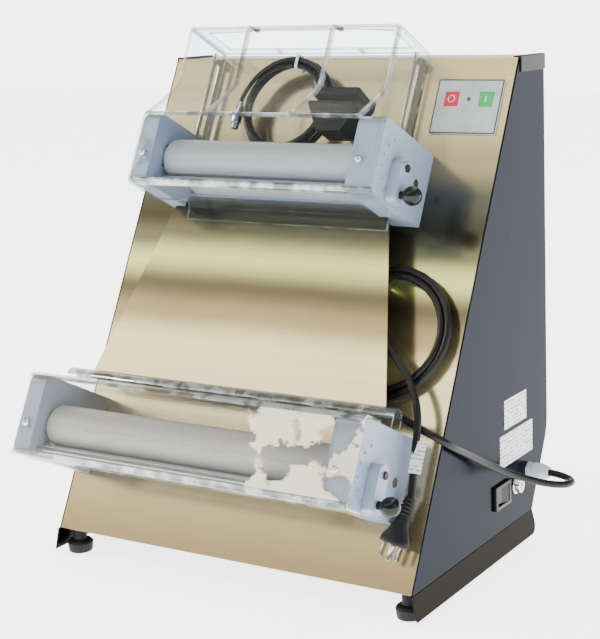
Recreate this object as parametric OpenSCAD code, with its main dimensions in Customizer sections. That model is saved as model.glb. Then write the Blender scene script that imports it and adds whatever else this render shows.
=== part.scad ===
// Two-stage dough sheeter: an inclined housing carries a short upper pair and a long
// lower pair of rollers, joined by a chute. X is to the right, Y to the back, Z up.
// The origin is on the table under the middle of the machine.

/* [Housing] */
// Width over the two side panels
body_w = 530; // [480:5:620]
// Height of the housing's top above the table
body_h = 631; // [600:1:720]
// Lean of the front panel from the vertical, in degrees
lean = 27.5; // [24:0.5:30]
// Depth of the flat top
top_depth = 74; // [60:1:110]
// Height of the housing's underside above the table
base_h = 36; // [28:1:50]
// Thickness of the stainless sheet
sheet_t = 2; // [1.5:0.1:2.5]
// Height at which the rear panel bends inwards
rear_bend_h = 135; // [110:1:170]
// How far the rear panel's foot is set in
rear_tuck = 52; // [30:1:70]
// Slant of the skirts from the vertical, in degrees
skirt_flare = 14; // [8:1:18]
// Diameter of a rubber foot
foot_d = 34; // [30:1:40]

/* [Rollers] */
// Diameter of every roller
roller_d = 54; // [50:0.5:56]
// Radius of a roller's rounded ends
roller_round = 12; // [4:0.5:14]
// Length of the upper rollers
upper_roller_l = 296; // [260:1:320]
// Length of the lower rollers
lower_roller_l = 429; // [380:1:440]
// Distance of the fixed roller's skin in front of the front panel
roller_back = 4; // [4:0.5:6]
// Smallest gap between the two rollers of a pair
gap_min = 0.7; // [0.5:0.1:1]
// How far the gap opens beyond its smallest
gap_travel = 3.3; // [2:0.1:3.5]
// Diameter of the roller shafts
shaft_d = 20; // [16:1:22]
// Height of the upper roller axes up the front panel
upper_s = 488; // [480:1:495]
// Height of the lower roller axes up the front panel
lower_s = 122; // [118:1:130]

/* [Roller housings] */
// Left face of the upper roller housing
upper_x0 = -186; // [-200:1:-175]
// Left face of the lower roller housing
lower_x0 = -264; // [-275:1:-255]
// How far the upper cheeks reach beyond the rollers
upper_reach = 14; // [11:1:24]
// How far the lower cheeks reach beyond the rollers
lower_reach = 11; // [10:1:24]
// Thickness of the left cheeks
left_cheek_t = 25; // [22:0.5:32]
// Thickness of the right cheeks with their gear cover
right_cheek_t = 38; // [36:0.5:46]
// How far a cheek reaches below the rollers
cheek_drop = 19; // [17:1:24]
// Height of an upper cheek above the roller axes
upper_cheek_above = 49; // [44:1:56]
// Height of a lower cheek above the roller axes
lower_cheek_above = 57; // [48:1:62]
// Thickness of the outer gear cover
gear_cover_t = 8; // [6:0.5:9]
// Radius of a cheek's front corners
cheek_round = 10; // [8:0.5:14]
// Thickness of the wall between the rollers and the gears
gear_wall_t = 12; // [10:0.5:13]
// Thickness of the clear covers
cover_t = 3; // [2:0.5:4]

/* [Hopper] */
// Height of the hopper's top up the front panel
hopper_top_s = 679; // [660:1:684]
// Depth of the hopper's top
hopper_depth = 88; // [80:1:95]
// Height of the hopper's waist
hopper_waist_s = 600; // [590:1:610]

/* [Chute] */
// Distance of the chute's upper edge in front of the panel
chute_top_n = 34; // [30:1:38]
// Distance of the chute's lower edge in front of the panel
chute_n = 40; // [36:1:44]
// Thickness of the chute plate
chute_t = 2; // [1.5:0.1:2.5]
// Height of the chute's upper edge up the front panel
chute_top_s = 452; // [430:1:456]
// Height of the chute's lower edge up the front panel
chute_low_s = 196; // [192:1:210]

/* [Controls] */
// Width of the keypad
keypad_w = 91; // [80:1:100]
// Height of the keypad
keypad_h = 73; // [60:1:80]
// Side of a square button
button_a = 19; // [16:0.5:22]
// Travel of a button
button_travel = 0.8; // [0.5:0.1:1.2]
// Distance of the lever's index plunger from its hub
lever_r = 34; // [31:0.5:35]
// Thickness of a lever
lever_t = 14; // [12:0.5:18]
// Diameter of the ball knob
knob_d = 24; // [20:0.5:28]
// Travel of the index plunger
knob_travel = 6; // [4:0.5:8]

/* [Cords] */
// Diameter of the mains lead
lead_d = 9; // [8:0.5:10]
// Diameter of the pedal lead
pedal_lead_d = 6; // [5:0.5:7]

/* [Hidden] */

// Clearances
run = 0.05;   // radial clearance of a shaft in a bore
gap = 0.4;    // plain clearance between pieces that pass each other
side = 0.5;   // end clearance of a roller or a gear

// Colours
steel = [0.75, 0.74, 0.70];
plastic = [0.94, 0.95, 0.96];
dark = [0.09, 0.09, 0.10];
clear = [0.80, 0.88, 0.92, 0.35];
bare = [0.62, 0.64, 0.66];

// Housing
panel_l = (body_h - base_h) / cos(lean);
top_y = panel_l * sin(lean);
rear_y = top_y + top_depth;
foot_y = rear_y - rear_tuck;
inner_w = body_w - 2 * sheet_t;
lip = 12;

// Gears: equal trapezoid teeth that stay in mesh while the gap opens
teeth = 12;
pair_dist = roller_d + gap_min;
tip_r = pair_dist / 2 + 3.65;
root_r = pair_dist / 2 - 4.35;
mid_r = pair_dist / 2 + 0.05;
tooth_half = [3.9, 2.7, 1.2] * (mid_r / 27.4);
lay_dist = pair_dist + 1.3;
fixed_n = roller_back + roller_d / 2;
moving_n = fixed_n + pair_dist;
cheek_below = roller_d / 2 + cheek_drop;
upper_depth = moving_n + gap_travel + roller_d / 2 + upper_reach;
lower_depth = moving_n + gap_travel + roller_d / 2 + lower_reach;
lay_n = fixed_n - lay_dist;

// Roller housings, upper and lower
upper_in_l = upper_x0 + left_cheek_t;
upper_in_r = upper_in_l + upper_roller_l + 2 * side;
upper_x1 = upper_in_r + right_cheek_t;
lower_in_l = lower_x0 + left_cheek_t;
lower_in_r = lower_in_l + lower_roller_l + 2 * side;
lower_x1 = lower_in_r + right_cheek_t;
pocket_t = right_cheek_t - gear_cover_t - gear_wall_t;
gear_t = pocket_t - 4;
pocket_half = tip_r + 3;
block_h = shaft_d + 10;
block_d = shaft_d + 8;

cheek_top = upper_s + upper_cheek_above;
cheek_low = upper_s - cheek_below;

// The middle of the machine's depth, which the origin stands under
front_low_s = lower_s - cheek_below - cover_t;
cover_bend = 8;
front_y = (front_low_s + cover_bend) * sin(lean) - (lower_depth + cover_t - cover_bend) * cos(lean)
  - cover_bend;
mid_y = (front_y + rear_y) / 2;

// Drive
chain_x = 182;
chain_w = 6;
chain_t = 5;
sprocket_r = 14;
plate_x = [138, 234];
plate_t = 4;
motor_y = 238;
motor_z = 118;
motor_d = 118;

// Things on the right side panel, as depth and height
switch_at = [238, 84];
switch_size = [44, 31];
socket_at = [281, 84];
gland_at = [321, 93];
gland_l = 30;
rocker_size = [32, 22];
socket_r = 5.5;

// Keypad, as distance right and up the panel
keypad_at = [207, 603];
stop_at = [184, 613];
start_at = [232, 613];
lamp_at = [208, 613];
keypad_t = 3;

// Moves children from [x, -n, s], with n out of the panel and s up it, to the frame
module on_panel() translate([0, -mid_y, base_h]) rotate([-lean, 0, 0]) children();
// Moves children from the housing's front edge to the frame
module on_base() translate([0, -mid_y, 0]) children();
// A disc or rod along X, at n and s
module rod_x(x, n, s, r, l) translate([x, -n, s]) rotate([0, 90, 0]) cylinder(r = r, h = l, $fn = 64);
// Extrudes a [depth, height] outline along X
module along_x(x, l) translate([x, 0, 0]) rotate([90, 0, 90]) linear_extrude(l) children();
// A block from its low corner and size, in panel coordinates with n outwards
module block(x, n, s, dx, dn, ds) translate([x, -n - dn, s]) cube([dx, dn, ds]);

function unit2(v) = v / norm(v);
function left_of(a, b) = let (d = unit2(b - a)) [-d[1], d[0]];
// Points of a path moved sideways by t, mitred at its corners
function beside(p, t) = [for (i = [0:len(p) - 1])
  let (a = left_of(p[max(i - 1, 0)], p[max(i - 1, 0) + 1]),
       b = left_of(p[min(i, len(p) - 2)], p[min(i, len(p) - 2) + 1]))
  p[i] + t * (a + b) / (1 + a * b)];
// The outline of a sheet of thickness t that follows a path, on its left
function sheet(p, t) = concat(p, reversed(beside(p, t)));
function reversed(p) = [for (i = [len(p) - 1:-1:0]) p[i]];
// A round corner of radius r at b between a and c, in n steps
function corner(a, b, c, r, n) =
  let (u = unit2(a - b), v = unit2(c - b), half = acos(u * v) / 2,
       mid = b + unit2(u + v) * r / sin(half), p = b + u * r / tan(half), q = b + v * r / tan(half),
       s = atan2(p[1] - mid[1], p[0] - mid[0]), e = atan2(q[1] - mid[1], q[0] - mid[0]),
       d = e - s > 180 ? e - s - 360 : e - s < -180 ? e - s + 360 : e - s)
  [for (i = [0:n]) mid + r * [cos(s + d * i / n), sin(s + d * i / n)]];

// ---------------------------------------------------------------- housing

rear_path = concat([[rear_y, body_h - sheet_t]],
  corner([rear_y, body_h], [rear_y, rear_bend_h], [foot_y, base_h], 70, 6),
  [[foot_y, base_h]]);
front_path = [[lip, base_h], [0, base_h], [top_y, body_h], [rear_y, body_h]];
gear_window = [gear_t + 4, 48];

module gear_windows() {
  for (w = [[upper_in_r, upper_s], [lower_in_r, lower_s]])
    translate([w[0] + gear_wall_t, -1, w[1] - gear_window[1] / 2])
      cube([gear_window[0], sheet_t + 2, gear_window[1]]);
}

module front_panel() {
  color(steel) difference() {
    on_base() along_x(-inner_w / 2, inner_w) polygon(sheet(front_path, -sheet_t));
    on_panel() {
      gear_windows();
      translate([keypad_at[0] - keypad_w / 2 + 6, -1, keypad_at[1] - keypad_h / 2 + 6])
        cube([keypad_w - 12, sheet_t + 2, keypad_h - 12]);
    }
  }
}

side_outline = concat([[0, base_h], [top_y, body_h], [rear_y, body_h]],
  corner([rear_y, body_h], [rear_y, rear_bend_h], [foot_y, base_h], 70, 6), [[foot_y, base_h]]);

module side_sheet(x) on_base() along_x(x, sheet_t) polygon(side_outline);

module left_side_panel() color(steel) side_sheet(-body_w / 2);

module right_side_panel() {
  color(steel) difference() {
    side_sheet(inner_w / 2);
    on_base() {
      at_switch() cube([20, rocker_size[0] + 6, rocker_size[1] + 6], center = true);
      translate([inner_w / 2 - 5, socket_at[0], socket_at[1]]) rotate([0, 90, 0])
        cylinder(r = 9, h = 20, $fn = 48);
      translate([inner_w / 2 - 5, gland_at[0], gland_at[1]]) rotate([0, 90, 0])
        cylinder(r = 8, h = 20, $fn = 48);
    }
  }
}

vent = [60, 4];
module rear_panel() {
  color(steel) difference() {
    on_base() along_x(-inner_w / 2, inner_w) polygon(sheet(rear_path, -sheet_t));
    on_base() for (col = [-1.5:1:1.5], row = [0:6])
      translate([col * 1.4 * vent[0] - vent[0] / 2, rear_y - 6, rear_bend_h + 60 + row * 14])
        cube([vent[0], 12, vent[1]]);
  }
}

module base_plate() {
  color(steel) on_base() translate([-inner_w / 2, lip, base_h])
    cube([inner_w, foot_y - sheet_t - 2 - lip, sheet_t]);
}

skirt_h = base_h - 6;
module skirts() {
  drop = skirt_h * tan(skirt_flare);
  color(steel) on_base() for (m = [0, 1]) mirror([m, 0, 0]) intersection() {
    translate([0, foot_y, 0]) rotate([90, 0, 0]) linear_extrude(foot_y + 3)
      polygon([[inner_w / 2, base_h], [body_w / 2, base_h], [body_w / 2 + drop, base_h - skirt_h],
               [inner_w / 2 + drop, base_h - skirt_h]]);
    along_x(inner_w / 2 - 2, 30) union() {
      translate([-3, base_h - skirt_h]) square([foot_y + 3 - skirt_h / 2, skirt_h]);
      translate([-3, base_h - skirt_h / 2]) square([foot_y + 3, skirt_h / 2]);
      translate([foot_y - skirt_h / 2, base_h - skirt_h / 2]) circle(r = skirt_h / 2, $fn = 48);
    }
  }
}

feet_at = [for (x = [-1, 1], y = [foot_d / 2 + 4, foot_y - foot_d / 2 - 8])
  [x * (inner_w / 2 - foot_d / 2 + 3), y]];
pad_h = 16;
stem_r = 9;
module rubber_feet() {
  r = foot_d / 2;
  color(dark) on_base() for (p = feet_at) translate([p[0], p[1], 0]) rotate_extrude($fn = 48)
    polygon([[0, 0], [r - 3, 0], [r - 1.5, 1], [r, pad_h - 3], [r - 3, pad_h], [stem_r, pad_h + 1],
             [stem_r, base_h], [0, base_h]]);
}

cap_t = 1.8;
cap_h = 18;
module corner_caps() {
  color(dark) on_base() for (m = [0, 1]) mirror([m, 0, 0]) {
    translate([body_w / 2 - 9, top_y + 1, body_h]) cube([9 + cap_t, top_depth - 1, cap_t]);
    translate([body_w / 2, top_y + 1, body_h - cap_h]) cube([cap_t, top_depth - 1, cap_h]);
  }
}

// ---------------------------------------------------------------- chute and guards

chute_edge = 12;
chute_tilt = atan((chute_n - chute_top_n) / (chute_top_s - chute_low_s));
chute_l = (chute_top_s - chute_low_s) / cos(chute_tilt);
function chute_n_at(s) = chute_top_n + (chute_top_s - s) * tan(chute_tilt);
peg_r = 5;
// The mains lead's coil hangs on the peg at its top
coil_at = [165, 300];
coil_in = 70;
coil_out = 98;
coil_n = [4, 20];
coil_peg = [coil_at[0] - 15, coil_at[1] + sqrt(coil_in * coil_in - 15 * 15) - peg_r - gap];
chute_pegs = [[upper_in_l + 30, chute_top_s - 40], [upper_in_r - 60, chute_top_s - 40],
  [lower_in_l + 60, chute_low_s + 40], coil_peg];

module chute_plate() {
  color(steel) on_panel() {
    difference() {
      translate([0, -chute_top_n, chute_top_s]) rotate([90 - chute_tilt, 0, 0]) linear_extrude(chute_t)
        polygon([[upper_in_l - chute_edge, 0], [upper_in_r + chute_edge, 0],
          [lower_in_r + chute_edge, 12 - chute_l], [lower_in_r + chute_edge, -chute_l],
          [lower_in_l + 1, -chute_l], [lower_in_l + 1, 12 - chute_l]]);
      for (x = [upper_in_l + side - 60, upper_in_r - side])
        block(x, 0, cheek_low - gap, 60, upper_depth, chute_top_s);
    }
    for (p = chute_pegs) rod_n(p[0], 0, p[1], peg_r, chute_n_at(p[1]) + 0.4);
  }
}
// A rod that stands out of the panel at x and s
module rod_n(x, n, s, r, l) translate([x, -n, s]) rotate([90, 0, 0]) cylinder(r = r, h = l, $fn = 40);

bracket_w = 26;
module hopper_brackets() {
  top = hopper_top_s - cover_t - 8;
  low = upper_s + upper_cheek_above + gap;
  color(steel) on_panel() for (b = [[upper_x0 + cover_t + gap, 1], [upper_in_r - cover_t - gap, -1]])
    translate([b[0], 0, 0]) mirror([b[1] < 0 ? 1 : 0, 0, 0]) difference() {
      union() {
        translate([0, -bracket_w, low]) cube([sheet_t, bracket_w, top - low]);
        translate([0, -sheet_t, low]) cube([16, sheet_t, top - low]);
      }
      translate([-1, -bracket_w + 7, low + 14]) cube([4, 8, top - low - 28]);
    }
}

// A clear bar of upside-down U section that lies across the top of the lower roller housing
guard_s = lower_s + lower_cheek_above;
guard_r = 11;
guard_h = 15;
guard_n = chute_n + chute_t + 2 + guard_r;
module guard_outline(r, low) {
  translate([-guard_n - r, guard_s + low]) square([2 * r, guard_h - low]);
  translate([-guard_n, guard_s + guard_h]) circle(r = r, $fn = 48);
}
module finger_guard() {
  color(clear) on_panel() along_x(lower_x0 + 2, lower_x1 - lower_x0 - 2) difference() {
    guard_outline(guard_r, 0);
    guard_outline(guard_r - 2, -1);
  }
}

// ---------------------------------------------------------------- roller housings

module guide_slot(x, l, s) {
  block(x, moving_n - block_d / 2 - gap, s - block_h / 2 - run, l, block_d + gap_travel + 2 * gap,
    block_h + 2 * run);
}

// A slab between the panel and the clear cover, rounded where the cover bends round it
module cheek_slab(x, l, depth, s, above) along_x(x, l) polygon(concat(
  [[0, s + above], [0, s - cheek_below]],
  corner([0, s - cheek_below], [-depth, s - cheek_below], [-depth, s + above], cheek_round, 4),
  corner([-depth, s - cheek_below], [-depth, s + above], [0, s + above], cheek_round, 4)));

module left_cheek(x0, depth, s, above) {
  color(plastic) on_panel() difference() {
    cheek_slab(x0, left_cheek_t, depth, s, above);
    rod_x(x0 + 6, fixed_n, s, shaft_d / 2 + run, left_cheek_t);
    guide_slot(x0 + 6, left_cheek_t, s);
    screw_hole(x0 + left_cheek_t / 2, depth, s);
  }
}

module right_cheek(x, depth, s, above) {
  color(plastic) on_panel() difference() {
    cheek_slab(x, right_cheek_t - gear_cover_t, depth, s, above);
    block(x + gear_wall_t, -1, s - pocket_half, right_cheek_t, moving_n + gap_travel + tip_r + 2.5,
      2 * pocket_half);
    rod_x(x - 1, fixed_n, s, shaft_d / 2 + run, gear_wall_t + 2);
    guide_slot(x - 1, gear_wall_t + 2, s);
    screw_hole(x + screw_in, depth, s);
  }
}

screw_r = 2;
screw_l = 3.5;
screw_in = 13;
screw_drop = 7;
module screw_hole(x, depth, s) {
  translate([x, -depth - 1, s - screw_drop]) rotate([-90, 0, 0])
    cylinder(r = screw_r, h = screw_l + 1, $fn = 24);
}

index_holes = 7;
lever_swing = 150;
hub_r = 8;
module gear_cover(x, depth, s, above) {
  color(plastic) on_panel() difference() {
    cheek_slab(x, gear_cover_t, depth, s, above);
    rod_x(x - 1, fixed_n, s, shaft_d / 2 - 4 + run, gear_cover_t + 2);
    rod_x(x - 1, moving_n, s, hub_r + run, gear_cover_t + 2);
    for (i = [0:index_holes - 1]) let (a = i * lever_swing / (index_holes - 1))
      rod_x(x + gear_cover_t - 1.2, moving_n + lever_r * sin(a), s - lever_r * cos(a), 2.5, 3);
  }
}

module roller(x, n, s, l) {
  mid_of_round = roller_d / 2 - roller_round;
  color(plastic) on_panel() difference() {
    translate([x + side, -n, s]) rotate([0, 90, 0]) rotate_extrude($fn = 96)
      polygon(concat([[shaft_d / 2, 0]],
        [for (a = [-90:15:0]) [mid_of_round + roller_round * cos(a), roller_round * (1 + sin(a))]],
        [for (a = [0:15:90]) [mid_of_round + roller_round * cos(a), l - roller_round * (1 - sin(a))]],
        [[shaft_d / 2, l]]));
  }
}

module gear_2d(phase) {
  polygon([for (i = [0:teeth - 1], k = [0:5])
    let (j = k < 3 ? k : 5 - k, w = (k < 3 ? -1 : 1) * tooth_half[j],
         r = [root_r, mid_r, tip_r][j], a = i * 360 / teeth + phase, l = sqrt(r * r - w * w))
    [l * cos(a) - w * sin(a), l * sin(a) + w * cos(a)]]);
}

module gear(x, n, s, phase) translate([x, -n, s]) rotate([90, 0, 90]) linear_extrude(gear_t) gear_2d(phase);

module fixed_shaft(x0, x_in_r, s) {
  cover_x = x_in_r + right_cheek_t - gear_cover_t;
  color(bare) on_panel() {
    rod_x(x0 + 6 + side, fixed_n, s, shaft_d / 2, cover_x - gap - x0 - 6 - side);
    rod_x(cover_x - gap, fixed_n, s, shaft_d / 2 - 4, gear_cover_t + gap + 0.6);
    gear(x_in_r + gear_wall_t + 2, fixed_n, s, 0);
  }
}

module moving_shaft(x0, x_in_r, s) {
  color(bare) on_panel() {
    rod_x(x0 + 6 + side, moving_n, s, shaft_d / 2, x_in_r + gear_wall_t + 2 + gear_t - x0 - 6 - side);
    gear(x_in_r + gear_wall_t + 2, moving_n, s, 180 / teeth);
  }
}

module carriages(x0, x_in_r, s) {
  color(bare) on_panel() for (c = [[x0 + 6 + side, left_cheek_t - 6 - 2 * side],
                                   [x_in_r + side, gear_wall_t - 2 * side]])
    difference() {
      block(c[0], moving_n - block_d / 2, s - block_h / 2, c[1], block_d, block_h);
      rod_x(c[0] - 1, moving_n, s, shaft_d / 2 + run, c[1] + 2);
    }
}

lever_w = 24;
plunger_r = 3;
module lever(x1, s) {
  color(plastic) on_panel() {
    difference() {
      translate([x1 + gap, -moving_n, s]) rotate([90, 0, 90]) linear_extrude(lever_t) union() {
        circle(r = lever_w / 2, $fn = 64);
        translate([-lever_w / 2, -lever_r - 6]) square([lever_w, lever_r + 6]);
        translate([-lever_w / 2 + 5, -lever_r - 11]) square([lever_w - 10, 6]);
        for (k = [-1, 1]) translate([k * (lever_w / 2 - 5), -lever_r - 6]) circle(r = 5, $fn = 40);
      }
      rod_x(x1, moving_n, s - lever_r, plunger_r + run, lever_t + 2);
    }
    rod_x(x1 - gear_cover_t + 0.3, moving_n, s, hub_r, gear_cover_t + gap - 0.3);
    rod_x(x1 + gap + lever_t, moving_n, s, 5, 1.2);
    translate([x1 + gap + lever_t, -moving_n - 11, s + 2]) cube([0.8, 9, 1.8]);
  }
}

module lever_knob(x1, s) {
  x = x1 + gap + lever_t;
  stem = knob_travel;
  color(dark) on_panel() translate([x, -moving_n, s - lever_r]) rotate([0, 90, 0]) {
    translate([0, 0, -lever_t + 0.2]) cylinder(r = plunger_r, h = lever_t, $fn = 40);
    translate([0, 0, 0.1]) cylinder(r = 5, h = stem + 3, $fn = 40);
    translate([0, 0, stem + knob_d / 2 - 2]) sphere(r = knob_d / 2, $fn = 48);
  }
}

// ---------------------------------------------------------------- clear covers

// The hopper's front in [-n, s], from its top edge down and back under the rollers
hopper_front = concat(
  [[-hopper_depth, hopper_top_s]],
  corner([-hopper_depth, hopper_top_s], [-hopper_depth + 3, hopper_waist_s],
    [-upper_depth - cover_t, cheek_top], 18, 4),
  corner([-hopper_depth + 3, hopper_waist_s], [-upper_depth - cover_t, cheek_top],
    [-upper_depth - cover_t, cheek_low], 12, 3),
  corner([-upper_depth - cover_t, cheek_top], [-upper_depth - cover_t, cheek_low - cover_t],
    [-60, cheek_low - cover_t], 8, 3),
  [[-66, cheek_low - cover_t]]);
hopper_lip = [[-84, cheek_low - cover_t], [-66, cheek_low - cover_t], [-60, cheek_low - cover_t - 5],
  [-60, cheek_low - cover_t - 22]];

module hopper_cover() {
  right_x = upper_in_r + cover_t;
  color(clear) on_panel() difference() {
    union() {
      along_x(upper_x0, upper_x1 - upper_x0) polygon(sheet(hopper_front, cover_t));
      along_x(upper_x0 + 50, upper_x1 - upper_x0 - 60) polygon(sheet(hopper_lip, cover_t));
      difference() {
        for (x = [upper_x0, right_x - cover_t]) along_x(x, cover_t) polygon(concat(
          [[-gap, cheek_low + 1], [-gap, hopper_top_s]], [for (i = [0:10]) hopper_front[i]]));
        block(upper_x0 - 1, -1, cheek_low, upper_x1 - upper_x0, upper_depth + 1,
          cheek_top - cheek_low + gap);
      }
      along_x(upper_x0, right_x - upper_x0) polygon([[-gap, hopper_top_s - cover_t],
        [-gap, hopper_top_s], [-hopper_depth, hopper_top_s], [-hopper_depth, hopper_top_s - cover_t]]);
    }
    // feed opening
    translate([upper_x0 + 45, -hopper_depth + 14, hopper_top_s - 10])
      cube([right_x - upper_x0 - 75, hopper_depth - 34, 20]);
    // right of the hopper the front stops at the cheek's top
    block(right_x, -1, cheek_top - 2, 100, upper_depth + 30, 200);
    for (x = upper_screws) screw_bore(x, upper_depth, upper_s);
  }
}
upper_screws = [upper_x0 + left_cheek_t / 2, upper_in_r + screw_in];
lower_screws = [lower_x0 + left_cheek_t / 2, lower_in_r + screw_in];
module screw_bore(x, depth, s) {
  translate([x, -depth - cover_t - 1, s - screw_drop]) rotate([-90, 0, 0])
    cylinder(r = screw_r, h = cover_t + 2, $fn = 24);
}

lower_front = concat(
  [[-92, guard_s + cover_t]],
  corner([-92, guard_s + cover_t], [-lower_depth - cover_t, guard_s + cover_t],
    [-lower_depth - cover_t, front_low_s], cover_bend, 3),
  corner([-lower_depth - cover_t, guard_s + cover_t], [-lower_depth - cover_t, front_low_s],
    [-96, front_low_s], cover_bend, 3),
  [[-96, front_low_s]]);

module lower_cover() {
  color(clear) on_panel() difference() {
    along_x(lower_x0, lower_x1 - lower_x0) polygon(sheet(lower_front, cover_t));
    for (x = lower_screws) screw_bore(x, lower_depth, lower_s);
  }
}

module cover_screws() {
  color(bare) on_panel() for (u = [[upper_screws, upper_depth, upper_s],
                                   [lower_screws, lower_depth, lower_s]], x = u[0])
    translate([x, -u[1], u[2] - screw_drop]) rotate([90, 0, 0]) {
      translate([0, 0, -screw_l]) cylinder(r = screw_r, h = screw_l + cover_t, $fn = 24);
      difference() {
        translate([0, 0, cover_t]) rotate_extrude($fn = 40)
          polygon([[0, 0], [4.5, 0], [4.5, 0.8], [3.6, 2.2], [2, 2.9], [0, 3]]);
        translate([0, 0, cover_t + 2.2]) for (a = [0, 90]) rotate(a) cube([5, 1.1, 2], center = true);
      }
    }
}

// Scraper blades under the rollers and the rods that tie the cheeks together
blade = [14, 2.5];
module scrapers() {
  color(plastic) on_panel() for (u = [[upper_in_l, upper_in_r, upper_s], [lower_in_l, lower_in_r, lower_s]],
                                 n = [fixed_n - 14, moving_n + 2])
    block(u[0], n, u[2] - roller_d / 2 - gap - blade[1], u[1] - u[0], blade[0], blade[1]);
}

module tie_rods() {
  color(bare) on_panel() {
    rod_x(lower_in_l, 107, lower_s - roller_d / 2 - 10.5, 6, lower_in_r - lower_in_l);
    rod_x(upper_in_l, 110, upper_s - roller_d / 2 - 10.5, 5, upper_in_r - upper_in_l);
  }
}

// ---------------------------------------------------------------- drive

module bearing_plates() {
  color(steel) on_panel() for (x = plate_x) difference() {
    union() {
      translate([x, sheet_t, lower_s - 50]) cube([plate_t, 56, upper_s - lower_s + 100]);
      translate([x, sheet_t, lower_s - 50]) cube([plate_t + 14, 2, upper_s - lower_s + 100]);
    }
    for (s = [lower_s, upper_s]) rod_x(x - 1, lay_n, s, shaft_d / 2 - 2 + run, plate_t + 20);
    for (w = [[upper_in_r, upper_s], [lower_in_r, lower_s]])
      translate([w[0] + gear_wall_t - 1, 0, w[1] - 26]) cube([gear_window[0] + 2, sheet_t + 4, 52]);
    translate([x - 1, 20, lower_s + 60]) cube([plate_t + 2, 22, upper_s - lower_s - 120]);
  }
}

module sprocket(x) translate([x, 0, 0]) rotate([0, 90, 0])
  cylinder(r = sprocket_r, h = chain_w, $fn = 48);

module lay_shaft(gear_x, s) {
  x0 = plate_x[0] - 4;
  x1 = plate_x[1] + plate_t + 4;
  color(bare) on_panel() {
    rod_x(x0, lay_n, s, shaft_d / 2 - 2, x1 - x0);
    gear(gear_x, lay_n, s, 180 / teeth);
    translate([0, -lay_n, s]) sprocket(chain_x);
  }
}

lower_lay_yz = [lower_s * sin(lean) - lay_n * cos(lean), base_h + lower_s * cos(lean) + lay_n * sin(lean)];
upper_lay_yz = [upper_s * sin(lean) - lay_n * cos(lean), base_h + upper_s * cos(lean) + lay_n * sin(lean)];

module chain_outline(r) hull() for (p = [lower_lay_yz, upper_lay_yz, [motor_y, motor_z]])
  translate(p) circle(r = r, $fn = 32);

module drive_chain() {
  color(bare) on_base() along_x(chain_x, chain_w) difference() {
    chain_outline(sprocket_r + gap + chain_t);
    chain_outline(sprocket_r + gap);
  }
}

gearbox_l = 46;
motor_l = 175;
motor_x1 = chain_x - 12;
motor_shaft_r = 8;
module gearmotor() {
  x0 = motor_x1 - gearbox_l - motor_l;
  color([0.35, 0.38, 0.42]) on_base() difference() {
    union() {
      translate([motor_x1 - gearbox_l, motor_y - 42, motor_z - 46]) cube([gearbox_l, 84, 92]);
      translate([x0, motor_y, motor_z]) rotate([0, 90, 0])
        cylinder(r = motor_d / 2, h = motor_l + 1, $fn = 96);
      for (x = [x0 + 15, x0 + motor_l - 55]) translate([x, motor_y - 30, base_h + sheet_t])
        cube([40, 60, motor_z - base_h - sheet_t - motor_d / 2 + 10]);
    }
    translate([motor_x1 - 24, motor_y, motor_z]) rotate([0, 90, 0])
      cylinder(r = motor_shaft_r + run, h = 30, $fn = 48);
  }
}

module drive_sprocket() {
  color(bare) on_base() translate([0, motor_y, motor_z]) {
    sprocket(chain_x);
    translate([motor_x1 - 24 + side, 0, 0]) rotate([0, 90, 0])
      cylinder(r = motor_shaft_r, h = 24 + 12 + chain_w + 4, $fn = 48);
  }
}

module control_box() {
  color([0.80, 0.81, 0.82]) on_base() translate([-235, 170, base_h + sheet_t]) cube([80, 110, 120]);
}

// ---------------------------------------------------------------- controls

module keypad_panel() {
  color([0.80, 0.82, 0.84]) on_panel() difference() {
    translate([keypad_at[0] - keypad_w / 2, -keypad_t, keypad_at[1] - keypad_h / 2])
      cube([keypad_w, keypad_t, keypad_h]);
    for (p = [stop_at, start_at])
      translate([p[0] - button_a / 2 - 0.3, -keypad_t - 1, p[1] - button_a / 2 - 0.3])
        cube([button_a + 0.6, keypad_t + 2, button_a + 0.6]);
    rod_n(lamp_at[0], -1, lamp_at[1], 2.5, keypad_t + 2);
  }
}

module button(p, c) {
  color(c) on_panel() translate([p[0] - button_a / 2, -keypad_t - button_travel - 0.1,
    p[1] - button_a / 2])
    cube([button_a, keypad_t + 0.4, button_a]);
}

module status_lamp() color([0.2, 0.3, 0.2]) on_panel() rod_n(lamp_at[0], 0, lamp_at[1], 2.5, keypad_t + 0.6);

module at_switch() translate([body_w / 2, switch_at[0], switch_at[1]]) children();

frame_wall = 1.5;
trunnion_r = 1.5;
trunnion_x = -3;
module switch_frame() {
  w = rocker_size[0] + 2 * side;
  h = rocker_size[1] + 2 * gap;
  color(dark) on_base() at_switch() difference() {
    union() {
      translate([0, -switch_size[0] / 2, -switch_size[1] / 2]) cube([4, switch_size[0], switch_size[1]]);
      translate([-18, -w / 2 - frame_wall, -h / 2 - frame_wall])
        cube([18, w + 2 * frame_wall, h + 2 * frame_wall]);
    }
    translate([-14, -w / 2, -h / 2]) cube([30, w, h]);
    translate([trunnion_x, 0, -h / 2 - 1]) cylinder(r = trunnion_r + run, h = h + 2, $fn = 32);
  }
}

rocker_tilt = 9;
module power_rocker() {
  h = rocker_size[1];
  w = rocker_size[0] / 2 - 1.6;
  color([0.3, 0.3, 0.3]) on_base() at_switch() translate([trunnion_x, 0, 0]) {
    translate([0, 0, -h / 2]) linear_extrude(h) rotate(-rocker_tilt)
      polygon([[-4, -w + 3], [-4, w - 3], [5.2, w], [4.2, 0], [5.2, -w]]);
    translate([0, 0, -h / 2 - 1]) cylinder(r = trunnion_r, h = h + 2, $fn = 32);
  }
}

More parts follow.
